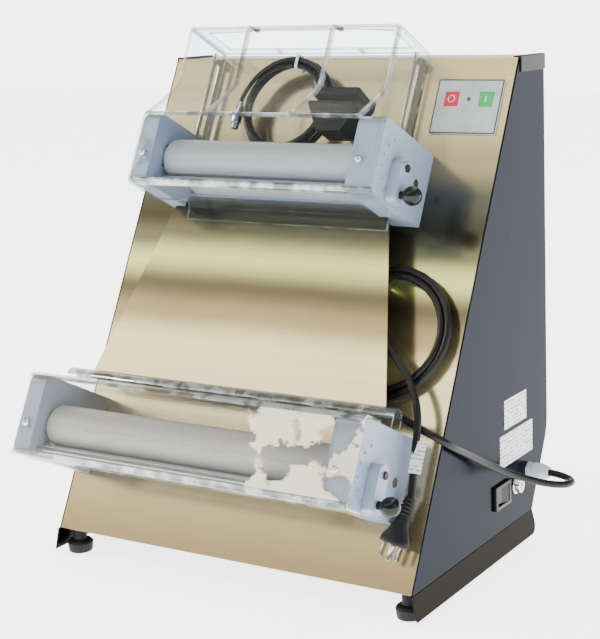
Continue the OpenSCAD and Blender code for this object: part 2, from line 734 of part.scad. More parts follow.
module pedal_socket() {
  color(bare) on_base() translate([body_w / 2, socket_at[0], socket_at[1]]) rotate([0, 90, 0])
    difference() {
      union() {
        translate([0, 0, -14]) cylinder(r = 8.6, h = 14, $fn = 48);
        cylinder(r = 11, h = 2, $fn = 48);
        cylinder(r = 8.6, h = 9, $fn = 48);
      }
      translate([0, 0, -4]) cylinder(r = socket_r, h = 20, $fn = 48);
    }
}

module rating_labels() {
  color([0.92, 0.93, 0.94]) on_base() {
    translate([body_w / 2, 250, 166]) cube([0.5, 66, 38]);
    translate([body_w / 2, 236, 118]) cube([0.5, 98, 42]);
  }
}

// ---------------------------------------------------------------- mains lead

module cable_gland() {
  color([0.72, 0.76, 0.80]) on_base() translate([body_w / 2, gland_at[0], gland_at[1]]) rotate([0, 90, 0])
    difference() {
      union() {
        translate([0, 0, -12]) cylinder(r = 7.8, h = 12, $fn = 48);
        cylinder(r = 11.5, h = 5, $fn = 6);
        translate([0, 0, 5]) cylinder(r = 8, h = 3, $fn = 48);
        translate([0, 0, 8]) cylinder(r = 11, h = 12, $fn = 48);
        translate([0, 0, 20]) cylinder(r1 = 11, r2 = 7.5, h = gland_l - 20, $fn = 48);
      }
      translate([0, 0, -13]) cylinder(r = lead_d / 2 + 0.1, h = gland_l + 20, $fn = 48);
    }
}

// Unit tangents, a frame carried along the route and rings swept through it
function spline_at(p, i, t) = let (a = p[max(i - 1, 0)], b = p[i], c = p[i + 1],
    d = p[min(i + 2, len(p) - 1)])
  0.5 * (2 * b + (c - a) * t + (2 * a - 5 * b + 4 * c - d) * t * t + (3 * b - a - 3 * c + d) * t * t * t);
function smooth(p, n) = concat([for (i = [0:len(p) - 2], k = [0:n - 1]) spline_at(p, i, k / n)],
  [p[len(p) - 1]]);
function tangent(p, i) = let (a = p[max(i - 1, 0)], b = p[min(i + 1, len(p) - 1)]) (b - a) / norm(b - a);
function carry(p, i, n) = let (t = tangent(p, i), m = n - (n * t) * t) m / norm(m);
function normals(p, i, n, out) = i >= len(p) ? out
  : let (m = carry(p, i, n)) normals(p, i + 1, m, concat(out, [m]));
module tube(p, r, k) {
  ns = normals(p, 0, [0.13, 0.2, 1], []);
  pts = [for (i = [0:len(p) - 1], j = [0:k - 1])
    let (t = tangent(p, i), b = cross(t, ns[i]), a = j * 360 / k)
    p[i] + r * (cos(a) * ns[i] + sin(a) * b)];
  m = len(p);
  faces = concat([[for (j = [k - 1:-1:0]) j]],
    [for (i = [0:m - 2], j = [0:k - 1]) let (q = (j + 1) % k)
      [i * k + j, i * k + q, (i + 1) * k + q, (i + 1) * k + j]],
    [[for (j = [0:k - 1]) (m - 1) * k + j]]);
  polyhedron(pts, faces);
}

// The lead from the gland to its coil, over the housing's front edge: x, y and z from that edge
lead_route = [[286, 321, 93], [302, 321, 93], [317, 318, 92], [329, 310, 92], [336, 297, 93],
  [335, 281, 95], [326, 264, 99], [312, 246, 106], [298, 224, 117], [287, 198, 131], [279, 168, 148],
  [275, 138, 165], [273, 112, 179], [272, 95, 188], [268, 80, 198], [256, 72, 207], [240, 72, 213],
  [220, 76, 219], [200, 82, 225], [182, 87, 230]];
// The lead from its coil to the plug: x right, -n and s up the panel
tail_route = [[106, -14, 334], [118, -18, 328], [138, -24, 315], [160, -28, 299], [181, -30, 281],
  [202, -31, 264], [219, -31, 246], [232, -31, 226], [240, -30, 205], [243, -28, 185],
  [244, -25, 160], [246, -22, 136], [248, -20, 110]];
lead_sides = 10;

module mains_lead() color(dark) on_base() tube(smooth(lead_route, 2), lead_d / 2, lead_sides);
module mains_tail() color(dark) on_panel() tube(smooth(tail_route, 2), lead_d / 2, lead_sides);

module ring(x, s, n, l, r_in, r_out) {
  translate([x, -n, s]) rotate([90, 0, 0]) rotate_extrude($fn = 96)
    translate([r_in, 0]) square([r_out - r_in, l]);
}
module mains_coil() color(dark) on_panel()
  ring(coil_at[0], coil_at[1], coil_n[0], coil_n[1], coil_in, coil_out);

plug_tilt = 10;
relief_l = 26;
plug_body = [[9, 0], [12, -8], [19, -26], [19, -32], [-19, -32], [-19, -26], [-12, -8], [-9, 0]];
module mains_plug() {
  end = tail_route[len(tail_route) - 1];
  color(dark) on_panel() translate(end) rotate([0, -plug_tilt, 0]) {
    translate([0, 0, -relief_l]) cylinder(r1 = 8, r2 = 5.5, h = relief_l, $fn = 40);
    translate([0, 11, -relief_l]) rotate([90, 0, 0]) linear_extrude(22) polygon(plug_body);
    for (x = [-11, 11]) translate([x - 1, -5, -relief_l - 32 - 17]) cube([2, 10, 18]);
    translate([-3, -1.2, -relief_l - 32 - 20]) cube([6, 2.4, 21]);
  }
}

// ---------------------------------------------------------------- foot pedal in the hopper

pedal_x = [17, 97];
pedal_n = [36, 72];
pedal_s = [540, 580];
pedal_pin = [41, 587];
pedal_ear = 5;
module pedal_base() {
  w = pedal_x[1] - pedal_x[0];
  color(dark) on_panel() difference() {
    union() {
      translate([pedal_x[0], -pedal_n[0], pedal_s[0]]) rotate([90, 0, 0])
        linear_extrude(pedal_n[1] - pedal_n[0])
          polygon([[22, 0], [w - 22, 0], [w, pedal_s[1] - pedal_s[0]], [0, pedal_s[1] - pedal_s[0]]]);
      for (x = [pedal_x[0], pedal_x[1] - pedal_ear])
        block(x, pedal_n[0], pedal_s[1] - 2, pedal_ear, 10, 14);
    }
    rod_x(pedal_x[0] + 1.5, pedal_pin[0], pedal_pin[1], 2 + run, w - 3);
  }
}

module pedal_treadle() {
  x0 = pedal_x[0] + pedal_ear + side;
  l = pedal_x[1] - pedal_x[0] - 2 * pedal_ear - 2 * side;
  color([0.55, 0.56, 0.58]) on_panel() {
    along_x(x0, l) polygon([[-pedal_n[0] - 0.5, pedal_s[1] + 4], [-pedal_n[0] - 0.5, pedal_s[1] + 12],
      [-pedal_n[1] - 2, pedal_s[1] + 18], [-pedal_n[1] - 2, pedal_s[1] + 9],
      [-pedal_pin[0] - 4, pedal_s[1] + 4]]);
    rod_x(pedal_x[0] + 2, pedal_pin[0], pedal_pin[1], 2, pedal_x[1] - pedal_x[0] - 4);
  }
}

pedal_coil_at = [-44, 590];
pedal_coil_n = [12, 4 * pedal_lead_d];
pedal_coil_r = [50, 50 + 3.5 * pedal_lead_d];
module pedal_coil() color(dark) on_panel()
  ring(pedal_coil_at[0], pedal_coil_at[1], pedal_coil_n[0], pedal_coil_n[1],
    pedal_coil_r[0], pedal_coil_r[1]);

// The connector hangs beside the coil: a collar on the lead, a round body and a nose
connector_at = [-121, 24, 590];
connector_r = 7;
connector_l = 24;
module pedal_connector() {
  color(bare) on_panel() translate([connector_at[0], -connector_at[1], connector_at[2]]) {
    translate([0, 0, -connector_l]) cylinder(r = connector_r, h = connector_l, $fn = 40);
    translate([0, 0, -connector_l - 8]) cylinder(r = connector_r - 2, h = 8, $fn = 40);
    translate([0, 0, -1]) cylinder(r = connector_r - 2.5, h = 7, $fn = 40);
  }
}

front_panel();
left_side_panel();
right_side_panel();
rear_panel();
base_plate();
skirts();
rubber_feet();
corner_caps();
chute_plate();
hopper_brackets();
finger_guard();
bearing_plates();
gearmotor();
drive_sprocket();
drive_chain();
lay_shaft(upper_in_r + gear_wall_t + 2, upper_s);  // upper_lay_shaft
lay_shaft(lower_in_r + gear_wall_t + 2, lower_s);  // lower_lay_shaft
control_box();
keypad_panel();
button(stop_at, [0.85, 0.1, 0.15]);  // stop_button
button(start_at, [0.1, 0.75, 0.3]);  // start_button
status_lamp();
switch_frame();
power_rocker();
pedal_socket();
rating_labels();
cable_gland();
left_cheek(upper_x0, upper_depth, upper_s, upper_cheek_above);  // upper_left_cheek
right_cheek(upper_in_r, upper_depth, upper_s, upper_cheek_above);  // upper_right_cheek
gear_cover(upper_x1 - gear_cover_t, upper_depth, upper_s, upper_cheek_above);  // upper_gear_cover
roller(upper_in_l, fixed_n, upper_s, upper_roller_l);  // upper_fixed_roller
fixed_shaft(upper_x0, upper_in_r, upper_s);  // upper_fixed_shaft
roller(upper_in_l, moving_n, upper_s, upper_roller_l);  // upper_moving_roller
moving_shaft(upper_x0, upper_in_r, upper_s);  // upper_moving_shaft
carriages(upper_x0, upper_in_r, upper_s);  // upper_carriages
lever(upper_x1, upper_s);  // upper_lever
lever_knob(upper_x1, upper_s);  // upper_lever_knob
hopper_cover();
left_cheek(lower_x0, lower_depth, lower_s, lower_cheek_above);  // lower_left_cheek
right_cheek(lower_in_r, lower_depth, lower_s, lower_cheek_above);  // lower_right_cheek
gear_cover(lower_x1 - gear_cover_t, lower_depth, lower_s, lower_cheek_above);  // lower_gear_cover
roller(lower_in_l, fixed_n, lower_s, lower_roller_l);  // lower_fixed_roller
fixed_shaft(lower_x0, lower_in_r, lower_s);  // lower_fixed_shaft
roller(lower_in_l, moving_n, lower_s, lower_roller_l);  // lower_moving_roller
moving_shaft(lower_x0, lower_in_r, lower_s);  // lower_moving_shaft
carriages(lower_x0, lower_in_r, lower_s);  // lower_carriages
lever(lower_x1, lower_s);  // lower_lever
lever_knob(lower_x1, lower_s);  // lower_lever_knob
lower_cover();
scrapers();
tie_rods();
cover_screws();
mains_lead();
mains_coil();
mains_tail();
mains_plug();
pedal_base();
pedal_treadle();
pedal_coil();
pedal_connector();
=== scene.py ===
"""The finished look of a two-stage dough sheeter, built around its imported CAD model."""
from dataclasses import dataclass, field
from enum import Enum
import logging
import math
from typing import Callable, Sequence

import bmesh
import bpy
from mathutils import Matrix, Vector


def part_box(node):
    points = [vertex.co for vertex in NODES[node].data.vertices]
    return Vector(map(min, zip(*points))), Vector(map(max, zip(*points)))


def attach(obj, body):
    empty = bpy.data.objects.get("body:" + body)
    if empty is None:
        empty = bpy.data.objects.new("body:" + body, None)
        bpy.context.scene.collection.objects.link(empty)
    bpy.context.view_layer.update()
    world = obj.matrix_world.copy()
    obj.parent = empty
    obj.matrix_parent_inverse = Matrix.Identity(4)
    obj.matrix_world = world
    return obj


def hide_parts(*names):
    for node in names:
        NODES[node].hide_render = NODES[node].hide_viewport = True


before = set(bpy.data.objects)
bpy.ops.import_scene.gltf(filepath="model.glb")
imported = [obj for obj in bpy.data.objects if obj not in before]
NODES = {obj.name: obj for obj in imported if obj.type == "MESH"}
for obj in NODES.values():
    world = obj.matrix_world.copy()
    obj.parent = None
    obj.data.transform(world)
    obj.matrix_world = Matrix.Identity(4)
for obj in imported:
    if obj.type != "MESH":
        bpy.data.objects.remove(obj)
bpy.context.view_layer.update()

log = logging.getLogger("dough_sheeter")

MM = 0.001
LEAN = math.radians(27.5)
REFLECTION_BAND_SPAN = 650.0
Point = tuple[float, float, float]
Colour = tuple[float, float, float]


# ---------------------------------------------------------------- places

class PanelFrame:
    """Places given across, out of and up the inclined front panel, in millimetres."""

    def __init__(self) -> None:
        """Reads the front panel's lower edge from the frame."""
        low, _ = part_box("front_panel")
        self.origin = Vector((0.0, low[1], low[2]))
        self.matrix = Matrix.Translation(self.origin) @ Matrix.Rotation(-LEAN, 4, "X")

    def at(self, x: float, n: float, s: float) -> Vector:
        """Gives a place in the row frame.

        Args:
            x: millimetres to the right.
            n: millimetres out of the panel.
            s: millimetres up the panel.

        Returns:
            The place in metres.
        """
        return self.matrix @ (Vector((x, -n, s)) * MM)

    def base(self, x: float, y: float, z: float) -> Vector:
        """Gives a place from millimetres behind the housing's front edge and above the table."""
        return Vector((x * MM, self.origin.y + y * MM, z * MM))


PANEL = PanelFrame()


# ---------------------------------------------------------------- shader graphs

Number = "float | Sock"


class Sock:
    """A shader output that takes part in Python arithmetic."""

    def __init__(self, graph: "Graph", socket: bpy.types.NodeSocket) -> None:
        """Keeps the socket and the graph that it belongs to."""
        self.graph = graph
        self.socket = socket

    def __add__(self, other: Number) -> "Sock":
        """Adds a number or another output."""
        return self.graph.math("ADD", self, other)

    __radd__ = __add__

    def __mul__(self, other: Number) -> "Sock":
        """Multiplies by a number or another output."""
        return self.graph.math("MULTIPLY", self, other)

    __rmul__ = __mul__

    def __sub__(self, other: Number) -> "Sock":
        """Takes a number or another output away."""
        return self.graph.math("SUBTRACT", self, other)

    def __rsub__(self, other: Number) -> "Sock":
        """Takes this output away from a number."""
        return self.graph.math("SUBTRACT", other, self)

    def __pow__(self, other: Number) -> "Sock":
        """Raises to a power."""
        return self.graph.math("POWER", self, other)

    def clamped(self) -> "Sock":
        """Holds the value between 0 and 1."""
        return self.graph.math("ADD", self, 0.0, clamp=True)

    def band(self, low: float, high: float) -> "Sock":
        """Gives 1 where the value is between low and high, and 0 elsewhere."""
        return self.graph.math("GREATER_THAN", self, low) * self.graph.math("LESS_THAN", self, high)

    def over(self, low: float, high: float) -> "Sock":
        """Maps low to 0 and high to 1, smoothly, and clamps."""
        return self.graph.node("ShaderNodeMapRange", {"interpolation_type": "SMOOTHSTEP"},
                               {"Value": self, "From Min": low, "From Max": high})


def set_stops(ramp: bpy.types.ColorRamp, stops: Sequence[tuple[float, Colour]]) -> None:
    """Gives a colour ramp its stops, each a place between 0 and 1 and a colour."""
    while len(ramp.elements) < len(stops):
        ramp.elements.new(1.0)
    for element, (place, colour) in zip(ramp.elements, stops):
        element.position = place
        element.color = (*colour, 1.0)


class Graph:
    """The node tree of one material."""

    def __init__(self, name: str) -> None:
        """Makes an empty material with an output node."""
        self.material = bpy.data.materials.new(name)
        self.material.use_nodes = True
        self.tree = self.material.node_tree
        self.tree.nodes.clear()
        self.output = self.tree.nodes.new("ShaderNodeOutputMaterial")

    def node(self, kind: str, settings: dict | None = None, inputs: dict | None = None,
             out: str | int = 0) -> Sock:
        """Adds a node.

        Args:
            kind: the node's type.
            settings: properties, set before its sockets.
            inputs: socket name or number to a value or an output.
            out: the output that is wanted.

        Returns:
            That output.
        """
        made = self.tree.nodes.new(kind)
        for key, value in (settings or {}).items():
            setattr(made, key, value)
        for key, value in (inputs or {}).items():
            self.feed(made.inputs[key], value)
        return Sock(self, made.outputs[out])

    def feed(self, socket: bpy.types.NodeSocket, value: object) -> None:
        """Links an output to a socket, or sets the socket's own value."""
        if isinstance(value, Sock):
            self.tree.links.new(value.socket, socket)
        elif isinstance(value, tuple) and socket.type == "RGBA":
            socket.default_value = (*value[:3], 1.0)
        else:
            socket.default_value = value

    def math(self, operation: str, a: Number, b: Number, clamp: bool = False) -> Sock:
        """Adds one Math node."""
        return self.node("ShaderNodeMath", {"operation": operation, "use_clamp": clamp}, {0: a, 1: b})

    def place(self, scale: Point = (1.0, 1.0, 1.0)) -> Sock:
        """Gives the place on the piece in metres, times a scale along each axis."""
        spot = self.node("ShaderNodeTexCoord", out="Object")
        if scale == (1.0, 1.0, 1.0):
            return spot
        return self.node("ShaderNodeMapping", None, {"Vector": spot, "Scale": scale})

    def axes(self, place: Sock) -> tuple[Sock, Sock, Sock]:
        """Splits a place into its x, y and z."""
        split = self.tree.nodes.new("ShaderNodeSeparateXYZ")
        self.feed(split.inputs[0], place)
        return tuple(Sock(self, split.outputs[i]) for i in range(3))

    def noise(self, place: Sock, scale: float, detail: float = 3.0, rough: float = 0.55) -> Sock:
        """Adds a noise texture."""
        return self.node("ShaderNodeTexNoise", None,
                         {"Vector": place, "Scale": scale, "Detail": detail, "Roughness": rough})

    def mix(self, share: Number, a: object, b: object, blend: str = "MIX") -> Sock:
        """Mixes two colours, in one of the Mix node's blend modes."""
        made = self.tree.nodes.new("ShaderNodeMix")
        made.data_type = "RGBA"
        made.blend_type = blend
        self.feed(made.inputs[0], share)
        self.feed(made.inputs[6], a)
        self.feed(made.inputs[7], b)
        return Sock(self, made.outputs[2])

    def ramp(self, value: Sock, stops: Sequence[tuple[float, Colour]]) -> Sock:
        """Gives a colour that runs smoothly through the stops, which stand between 0 and 1."""
        made = self.tree.nodes.new("ShaderNodeValToRGB")
        made.color_ramp.interpolation = "EASE"
        set_stops(made.color_ramp, stops)
        self.feed(made.inputs[0], value)
        return Sock(self, made.outputs[0])

    def bump(self, height: Sock, strength: float, distance: float, normal: Sock | None = None) -> Sock:
        """Adds a bump node; distance is in metres."""
        inputs = {"Height": height, "Strength": strength, "Distance": distance}
        if normal is not None:
            inputs["Normal"] = normal
        return self.node("ShaderNodeBump", None, inputs)

    def surface(self, **sockets: object) -> Sock:
        """Adds a Principled shader; socket names take _ for a space."""
        return self.node("ShaderNodeBsdfPrincipled", None,
                         {key.replace("_", " "): value for key, value in sockets.items()})

    def finish(self, shader: Sock) -> bpy.types.Material:
        """Sends a shader to the output and gives the material."""
        self.tree.links.new(shader.socket, self.output.inputs["Surface"])
        return self.material


class Grain(Enum):
    """The way that sheet steel was brushed, as scales along X, Y and Z."""

    ACROSS = (6.0, 900.0, 900.0)
    UPWARDS = (900.0, 900.0, 6.0)


@dataclass(frozen=True)
class SheetSteel:
    """Brushed stainless sheet with faint handling marks.

    Its edge is the tint of what it mirrors at a slant. Its painted_reflection_bands are painted reflections:
    tones multiplied into the colour, each at a height up the front panel in millimetres.
    """

    name: str = "sheet_steel"
    grain: Grain = Grain.ACROSS
    # Painted reflection: the cream in this colour stands for the warm room that the steel mirrors.
    colour: Colour = (0.78, 0.72, 0.58)
    roughness: float = 0.17
    metal: float = 0.84
    edge: Colour = (0.6, 0.6, 0.6)
    painted_reflection_bands: tuple[tuple[float, Colour], ...] = ()

    def build(self) -> bpy.types.Material:
        """Makes the material."""
        g = Graph(self.name)
        streak = g.noise(g.place(self.grain.value), 1.0, 2.0)
        broad = g.noise(g.place(tuple(v * 0.12 for v in self.grain.value)), 1.0, 2.0)
        cloud = g.noise(g.place(), 5.0, 3.0)
        smudge = g.noise(g.place(), 28.0, 4.0, 0.7).over(0.58, 0.78)
        tone = (streak * 0.5 + broad * 0.5).over(0.25, 0.75)
        colour = g.mix(tone, tuple(c * 0.90 for c in self.colour), self.colour)
        colour = g.mix(cloud.over(0.4, 0.75) * 0.35, colour, tuple(c * 0.86 for c in self.colour))
        # Painted reflections: tones fixed at heights up the panel, multiplied into the colour, stand for the room's
        # light and dark bands mirrored in the sheet.
        if self.painted_reflection_bands:
            up = PANEL.matrix.col[2].xyz
            spot = g.axes(g.place())
            ragged = cloud * 0.010 - 0.005
            climb = spot[1] * up.y + spot[2] * up.z - PANEL.origin.dot(up) + ragged
            tint = g.ramp(climb * (1 / (REFLECTION_BAND_SPAN * MM)),
                          [(place / REFLECTION_BAND_SPAN, shade) for place, shade in self.painted_reflection_bands])
            colour = g.mix(1.0, colour, tint, "MULTIPLY")
        rough = streak * 0.10 + cloud * 0.06 + smudge * 0.07 + (self.roughness - 0.08)
        return g.finish(g.surface(Base_Color=colour, Metallic=self.metal, Roughness=rough,
                                  Specular_Tint=self.edge, Normal=g.bump(streak, 0.10, 0.0002)))


@dataclass(frozen=True)
class TurnedSteel:
    """Ground or turned bright steel."""

    name: str = "turned_steel"
    colour: Colour = (0.64, 0.65, 0.66)
    roughness: float = 0.24

    def build(self) -> bpy.types.Material:
        """Makes the material."""
        g = Graph(self.name)
        ring = g.noise(g.place((1400.0, 30.0, 30.0)), 1.0, 1.0)
        cloud = g.noise(g.place(), 40.0, 3.0)
        colour = g.mix(cloud.over(0.35, 0.7), tuple(c * 0.86 for c in self.colour), self.colour)
        return g.finish(g.surface(Base_Color=colour, Metallic=1.0,
                                  Roughness=ring * 0.12 + cloud * 0.08 + (self.roughness - 0.1),
                                  Normal=g.bump(ring, 0.06, 0.0002)))


@dataclass(frozen=True)
class MilkyPlastic:
    """White food-grade polyethylene with fine tool marks."""

    name: str = "milky_plastic"
    # Painted shade: this white plastic's colour is darkened and blued to stand for the shade and blue skylight it sits
    # in.
    colour: Colour = (0.25, 0.315, 0.42)
    marks: Point = (900.0, 60.0, 60.0)
    glow: float = 0.12

    def build(self) -> bpy.types.Material:
        """Makes the material."""
        g = Graph(self.name)
        tool = g.noise(g.place(self.marks), 1.0, 2.0)
        cloud = g.noise(g.place(), 18.0, 4.0)
        colour = g.mix(cloud.over(0.35, 0.75), self.colour, tuple(c * 0.93 for c in self.colour))
        return g.finish(g.surface(Base_Color=colour, Roughness=cloud * 0.14 + tool * 0.06 + 0.26,
                                  Subsurface_Weight=self.glow, Subsurface_Scale=0.006, Coat_Weight=0.12,
                                  Coat_Roughness=0.2, Normal=g.bump(tool, 0.05, 0.0002)))


@dataclass(frozen=True)
class ClearPlastic:
    """Clear thermoformed sheet: see-through face on, glossy at a slant, a little scuffed."""

    name: str = "clear_plastic"
    tint: Colour = (0.96, 0.98, 1.0)
    haze: float = 0.012
    film_from: float | None = None
    bloom: Colour = (0.26, 0.28, 0.29)

    def build(self) -> bpy.types.Material:
        """Makes the material; film_from is the x in metres where scraps of film are left."""
        g = Graph(self.name)
        scuff = g.noise(g.place((30.0, 220.0, 160.0)), 1.0, 4.0, 0.7).over(0.62, 0.74)
        wave = g.noise(g.place(), 22.0, 2.0)
        slant = g.node("ShaderNodeLayerWeight", None, {"Blend": 0.3}, out="Facing")
        body = slant ** 2.6 * 0.50 + scuff * 0.05 + self.haze
        if self.film_from is not None:
            x, _, _ = g.axes(g.place())
            rag = g.noise(g.place((14.0, 20.0, 30.0)), 1.0, 6.0, 0.6)
            scrap = (rag * 0.16 + x).over(self.film_from + 0.078, self.film_from + 0.084)
            patch = g.noise(g.place((13.0, 9.0, 19.0)), 1.0, 6.0, 0.55).over(0.45, 0.475)
            body = body + scrap * patch * 0.66
        clear = g.node("ShaderNodeBsdfTransparent", None, {"Color": self.tint})
        skin = g.surface(Base_Color=self.bloom, Roughness=scuff * 0.25 + 0.05,
                         Coat_Weight=0.8, Coat_Roughness=0.03, Normal=g.bump(wave, 0.08, 0.002))
        return g.finish(g.node("ShaderNodeMixShader", None, {0: body.clamped(), 1: clear, 2: skin}))


@dataclass(frozen=True)
class ClearRim:
    """A rim or bend of clear sheet, with painted highlights and painted dark streaks along its length."""

    name: str = "clear_rim_painted_glints"
    density: float = 0.5

    def build(self) -> bpy.types.Material:
        """Makes the material."""
        g = Graph(self.name)
        glint_streak = g.noise(g.place((40.0, 40.0, 40.0)), 1.0, 2.0)
        # Painted highlights and painted dark lines: the rim's colour runs from dark to light along it, standing for
        # light bent in the sheet.
        colour = g.mix(glint_streak.over(0.42, 0.60), (0.10, 0.11, 0.12), (0.55, 0.59, 0.61))
        clear = g.node("ShaderNodeBsdfTransparent", None, {"Color": (0.93, 0.95, 0.96)})
        glint = g.surface(Base_Color=colour, Roughness=glint_streak * 0.1 + 0.06, Metallic=0.35, Coat_Weight=1.0,
                          Coat_Roughness=0.03)
        share = glint_streak * 0.25 + (self.density - 0.1)
        return g.finish(g.node("ShaderNodeMixShader", None, {0: share, 1: clear, 2: glint}))


@dataclass(frozen=True)
class MouldedPlastic:
    """Opaque moulded plastic with a fine grain."""

    name: str
    colour: Colour
    roughness: float = 0.38
    grain: float = 900.0
    depth: float = 0.08
    coat: float = 0.0
    gloss: float = 0.2

    def build(self) -> bpy.types.Material:
        """Makes the material."""
        g = Graph(self.name)
        grain = g.noise(g.place(), self.grain, 2.0)
        cloud = g.noise(g.place(), 35.0, 3.0)
        colour = g.mix(cloud.over(0.35, 0.75), self.colour, tuple(c * 0.82 + 0.004 for c in self.colour))
        rough = cloud * 0.12 + grain * 0.08 + self.roughness - 0.1
        return g.finish(g.surface(Base_Color=colour, Roughness=rough,
                                  Specular_IOR_Level=self.gloss,
                                  Coat_Weight=self.coat, Coat_Roughness=0.08,
                                  Normal=g.bump(grain, self.depth, 0.0002)))


@dataclass(frozen=True)
class PrintedLabel:
    """White label stock printed with rows of plain dashes."""

    name: str = "printed_label"
    row: float = 0.0052
    axis: int = 1

    def build(self) -> bpy.types.Material:
        """Makes the material."""
        g = Graph(self.name)
        xyz = g.axes(g.place())
        rows = g.math("FRACT", xyz[2] * (1 / self.row), 0.0)
        line = g.math("FLOOR", xyz[2] * (1 / self.row), 0.0)
        across = g.node("ShaderNodeCombineXYZ", None, {0: xyz[self.axis] * 190.0, 1: line * 3.7, 2: 0.0})
        dash = g.noise(across, 1.0, 1.0).over(0.47, 0.50)
        ink = rows.band(0.25, 0.62) * dash
        paper = g.noise(g.place(), 300.0, 2.0)
        colour = g.mix(ink * 0.75, (0.80, 0.81, 0.82), (0.12, 0.12, 0.14))
        return g.finish(g.surface(Base_Color=colour, Roughness=paper * 0.1 + 0.42,
                                  Normal=g.bump(paper, 0.04, 0.0001)))


FINISHES: dict[str, bpy.types.Material] = {}


def finish_of(kind: object) -> bpy.types.Material:
    """Builds a finish once and gives its material.

    Args:
        kind: one of the finish dataclasses.

    Returns:
        The material.
    """
    if kind.name not in FINISHES:
        FINISHES[kind.name] = kind.build()
    return FINISHES[kind.name]


STEEL = SheetSteel()
# The front panel and chute carry painted reflections: bands of tone up the panel's height.
FRONT_STEEL = SheetSteel("front_steel_painted_reflections", painted_reflection_bands=(
    (0.0, (0.40, 0.35, 0.26)), (70.0, (0.52, 0.46, 0.34)), (140.0, (0.80, 0.74, 0.58)),
    (200.0, (0.97, 0.94, 0.78)),
    (258.0, (1.0, 0.96, 0.70)), (300.0, (0.40, 0.35, 0.25)), (336.0, (0.14, 0.135, 0.10)),
    (375.0, (0.76, 0.86, 0.46)), (408.0, (0.18, 0.19, 0.145)), (440.0, (0.065, 0.065, 0.055)),
    (480.0, (0.10, 0.115, 0.13)), (530.0, (0.42, 0.39, 0.31)), (590.0, (0.85, 0.78, 0.62)),
    (640.0, (0.95, 0.87, 0.70))))
# Painted shade: the side, rear and base sheets are near black, standing for the dark room that the right side mirrors,
# so they look dark from every side.
SIDE_STEEL_PAINTED_DARK = SheetSteel("side_steel_painted_shade", Grain.UPWARDS, (0.017, 0.020, 0.026), 0.22, 1.0)
# Painted shade: the skirts are near black, standing for the shade under the housing's lip.
SKIRT_STEEL_PAINTED_DARK = SheetSteel("skirt_steel_painted_shade", Grain.ACROSS, (0.014, 0.0125, 0.010), 0.24, 1.0)
BRIGHT = TurnedSteel()
CHROME = TurnedSteel("chrome", (0.78, 0.78, 0.79), 0.16)
# WHITE keeps the darkened, blued colour of painted shade.
WHITE = MilkyPlastic()
ROLLER = MilkyPlastic("roller_plastic", (0.38, 0.39, 0.40), (1600.0, 20.0, 20.0), 0.2)
CLEAR = ClearPlastic()
FILMED = ClearPlastic("clear_with_film", (0.97, 0.97, 0.97), 0.02, 0.085, (0.95, 0.90, 0.72))
RIM = ClearRim()
BLACK = MouldedPlastic("black_plastic", (0.008, 0.008, 0.009))
GLOSSY_BLACK = MouldedPlastic("glossy_black", (0.006, 0.006, 0.007), 0.2, 300.0, 0.02, 0.12)
RUBBER = MouldedPlastic("black_rubber", (0.008, 0.008, 0.009), 0.62, 500.0, 0.2)
SHEATH = MouldedPlastic("cable_sheath", (0.006, 0.006, 0.007), 0.36, 260.0, 0.06, 0.04)
RED = MouldedPlastic("stop_red", (0.62, 0.02, 0.05), 0.3, 400.0, 0.03, 0.4)
GREEN = MouldedPlastic("start_green", (0.02, 0.42, 0.12), 0.3, 400.0, 0.03, 0.4)
INK = MouldedPlastic("white_print", (0.82, 0.83, 0.84), 0.45)
DARK_INK = MouldedPlastic("dark_print", (0.05, 0.05, 0.06), 0.5)
FOIL = MouldedPlastic("keypad_foil", (0.47, 0.50, 0.54), 0.34, 700.0, 0.05, 0.2)
LENS = MouldedPlastic("lamp_lens", (0.04, 0.07, 0.05), 0.2, 200.0, 0.02, 0.6)
GLAND = MouldedPlastic("gland_grey", (0.50, 0.58, 0.66), 0.4)
PAINT = MouldedPlastic("motor_paint", (0.10, 0.12, 0.15), 0.42, 500.0, 0.1)
CASE = MouldedPlastic("case_grey", (0.52, 0.53, 0.54), 0.45)
PEDAL = MouldedPlastic("pedal_grey", (0.006, 0.006, 0.007), 0.42, 500.0, 0.15)
LABEL = PrintedLabel()
TAG = PrintedLabel("printed_tag", 0.0040, 0)


# ---------------------------------------------------------------- the bench: making and dressing pieces

def only(obj: bpy.types.Object) -> None:
    """Selects one object and makes it active."""
    bpy.ops.object.select_all(action="DESELECT")
    obj.select_set(True)
    bpy.context.view_layer.objects.active = obj


def pick(obj: bpy.types.Object, mode: str, test: Callable[[object], bool]) -> None:
    """Selects, in edit mode, the vertices, edges or faces that pass a test.

    Args:
        obj: the object in edit mode.
        mode: VERT, EDGE or FACE.
        test: takes a bmesh element and says whether it is picked.
    """
    bpy.ops.mesh.select_mode(type=mode)
    bpy.ops.mesh.select_all(action="DESELECT")
    mesh = bmesh.from_edit_mesh(obj.data)
    for item in {"VERT": mesh.verts, "EDGE": mesh.edges, "FACE": mesh.faces}[mode]:
        item.select_set(test(item))
    mesh.select_flush_mode()
    bmesh.update_edit_mesh(obj.data)


def modify(obj: bpy.types.Object, kind: str, **settings: object) -> None:
    """Adds a modifier, sets it and applies it."""
    only(obj)
    made = obj.modifiers.new(kind.title(), kind)
    for key, value in settings.items():
        setattr(made, key, value)
    bpy.ops.object.modifier_apply(modifier=made.name)


def breadth(face: bpy.types.MeshPolygon, mesh: bpy.types.Mesh) -> float:
    """Gives a face's area over its longest edge, in millimetres."""
    corners = [mesh.vertices[i].co for i in face.vertices]
    longest = max((a - b).length for a, b in zip(corners, corners[1:] + corners[:1]))
    return face.area / max(longest, 1e-9) / MM


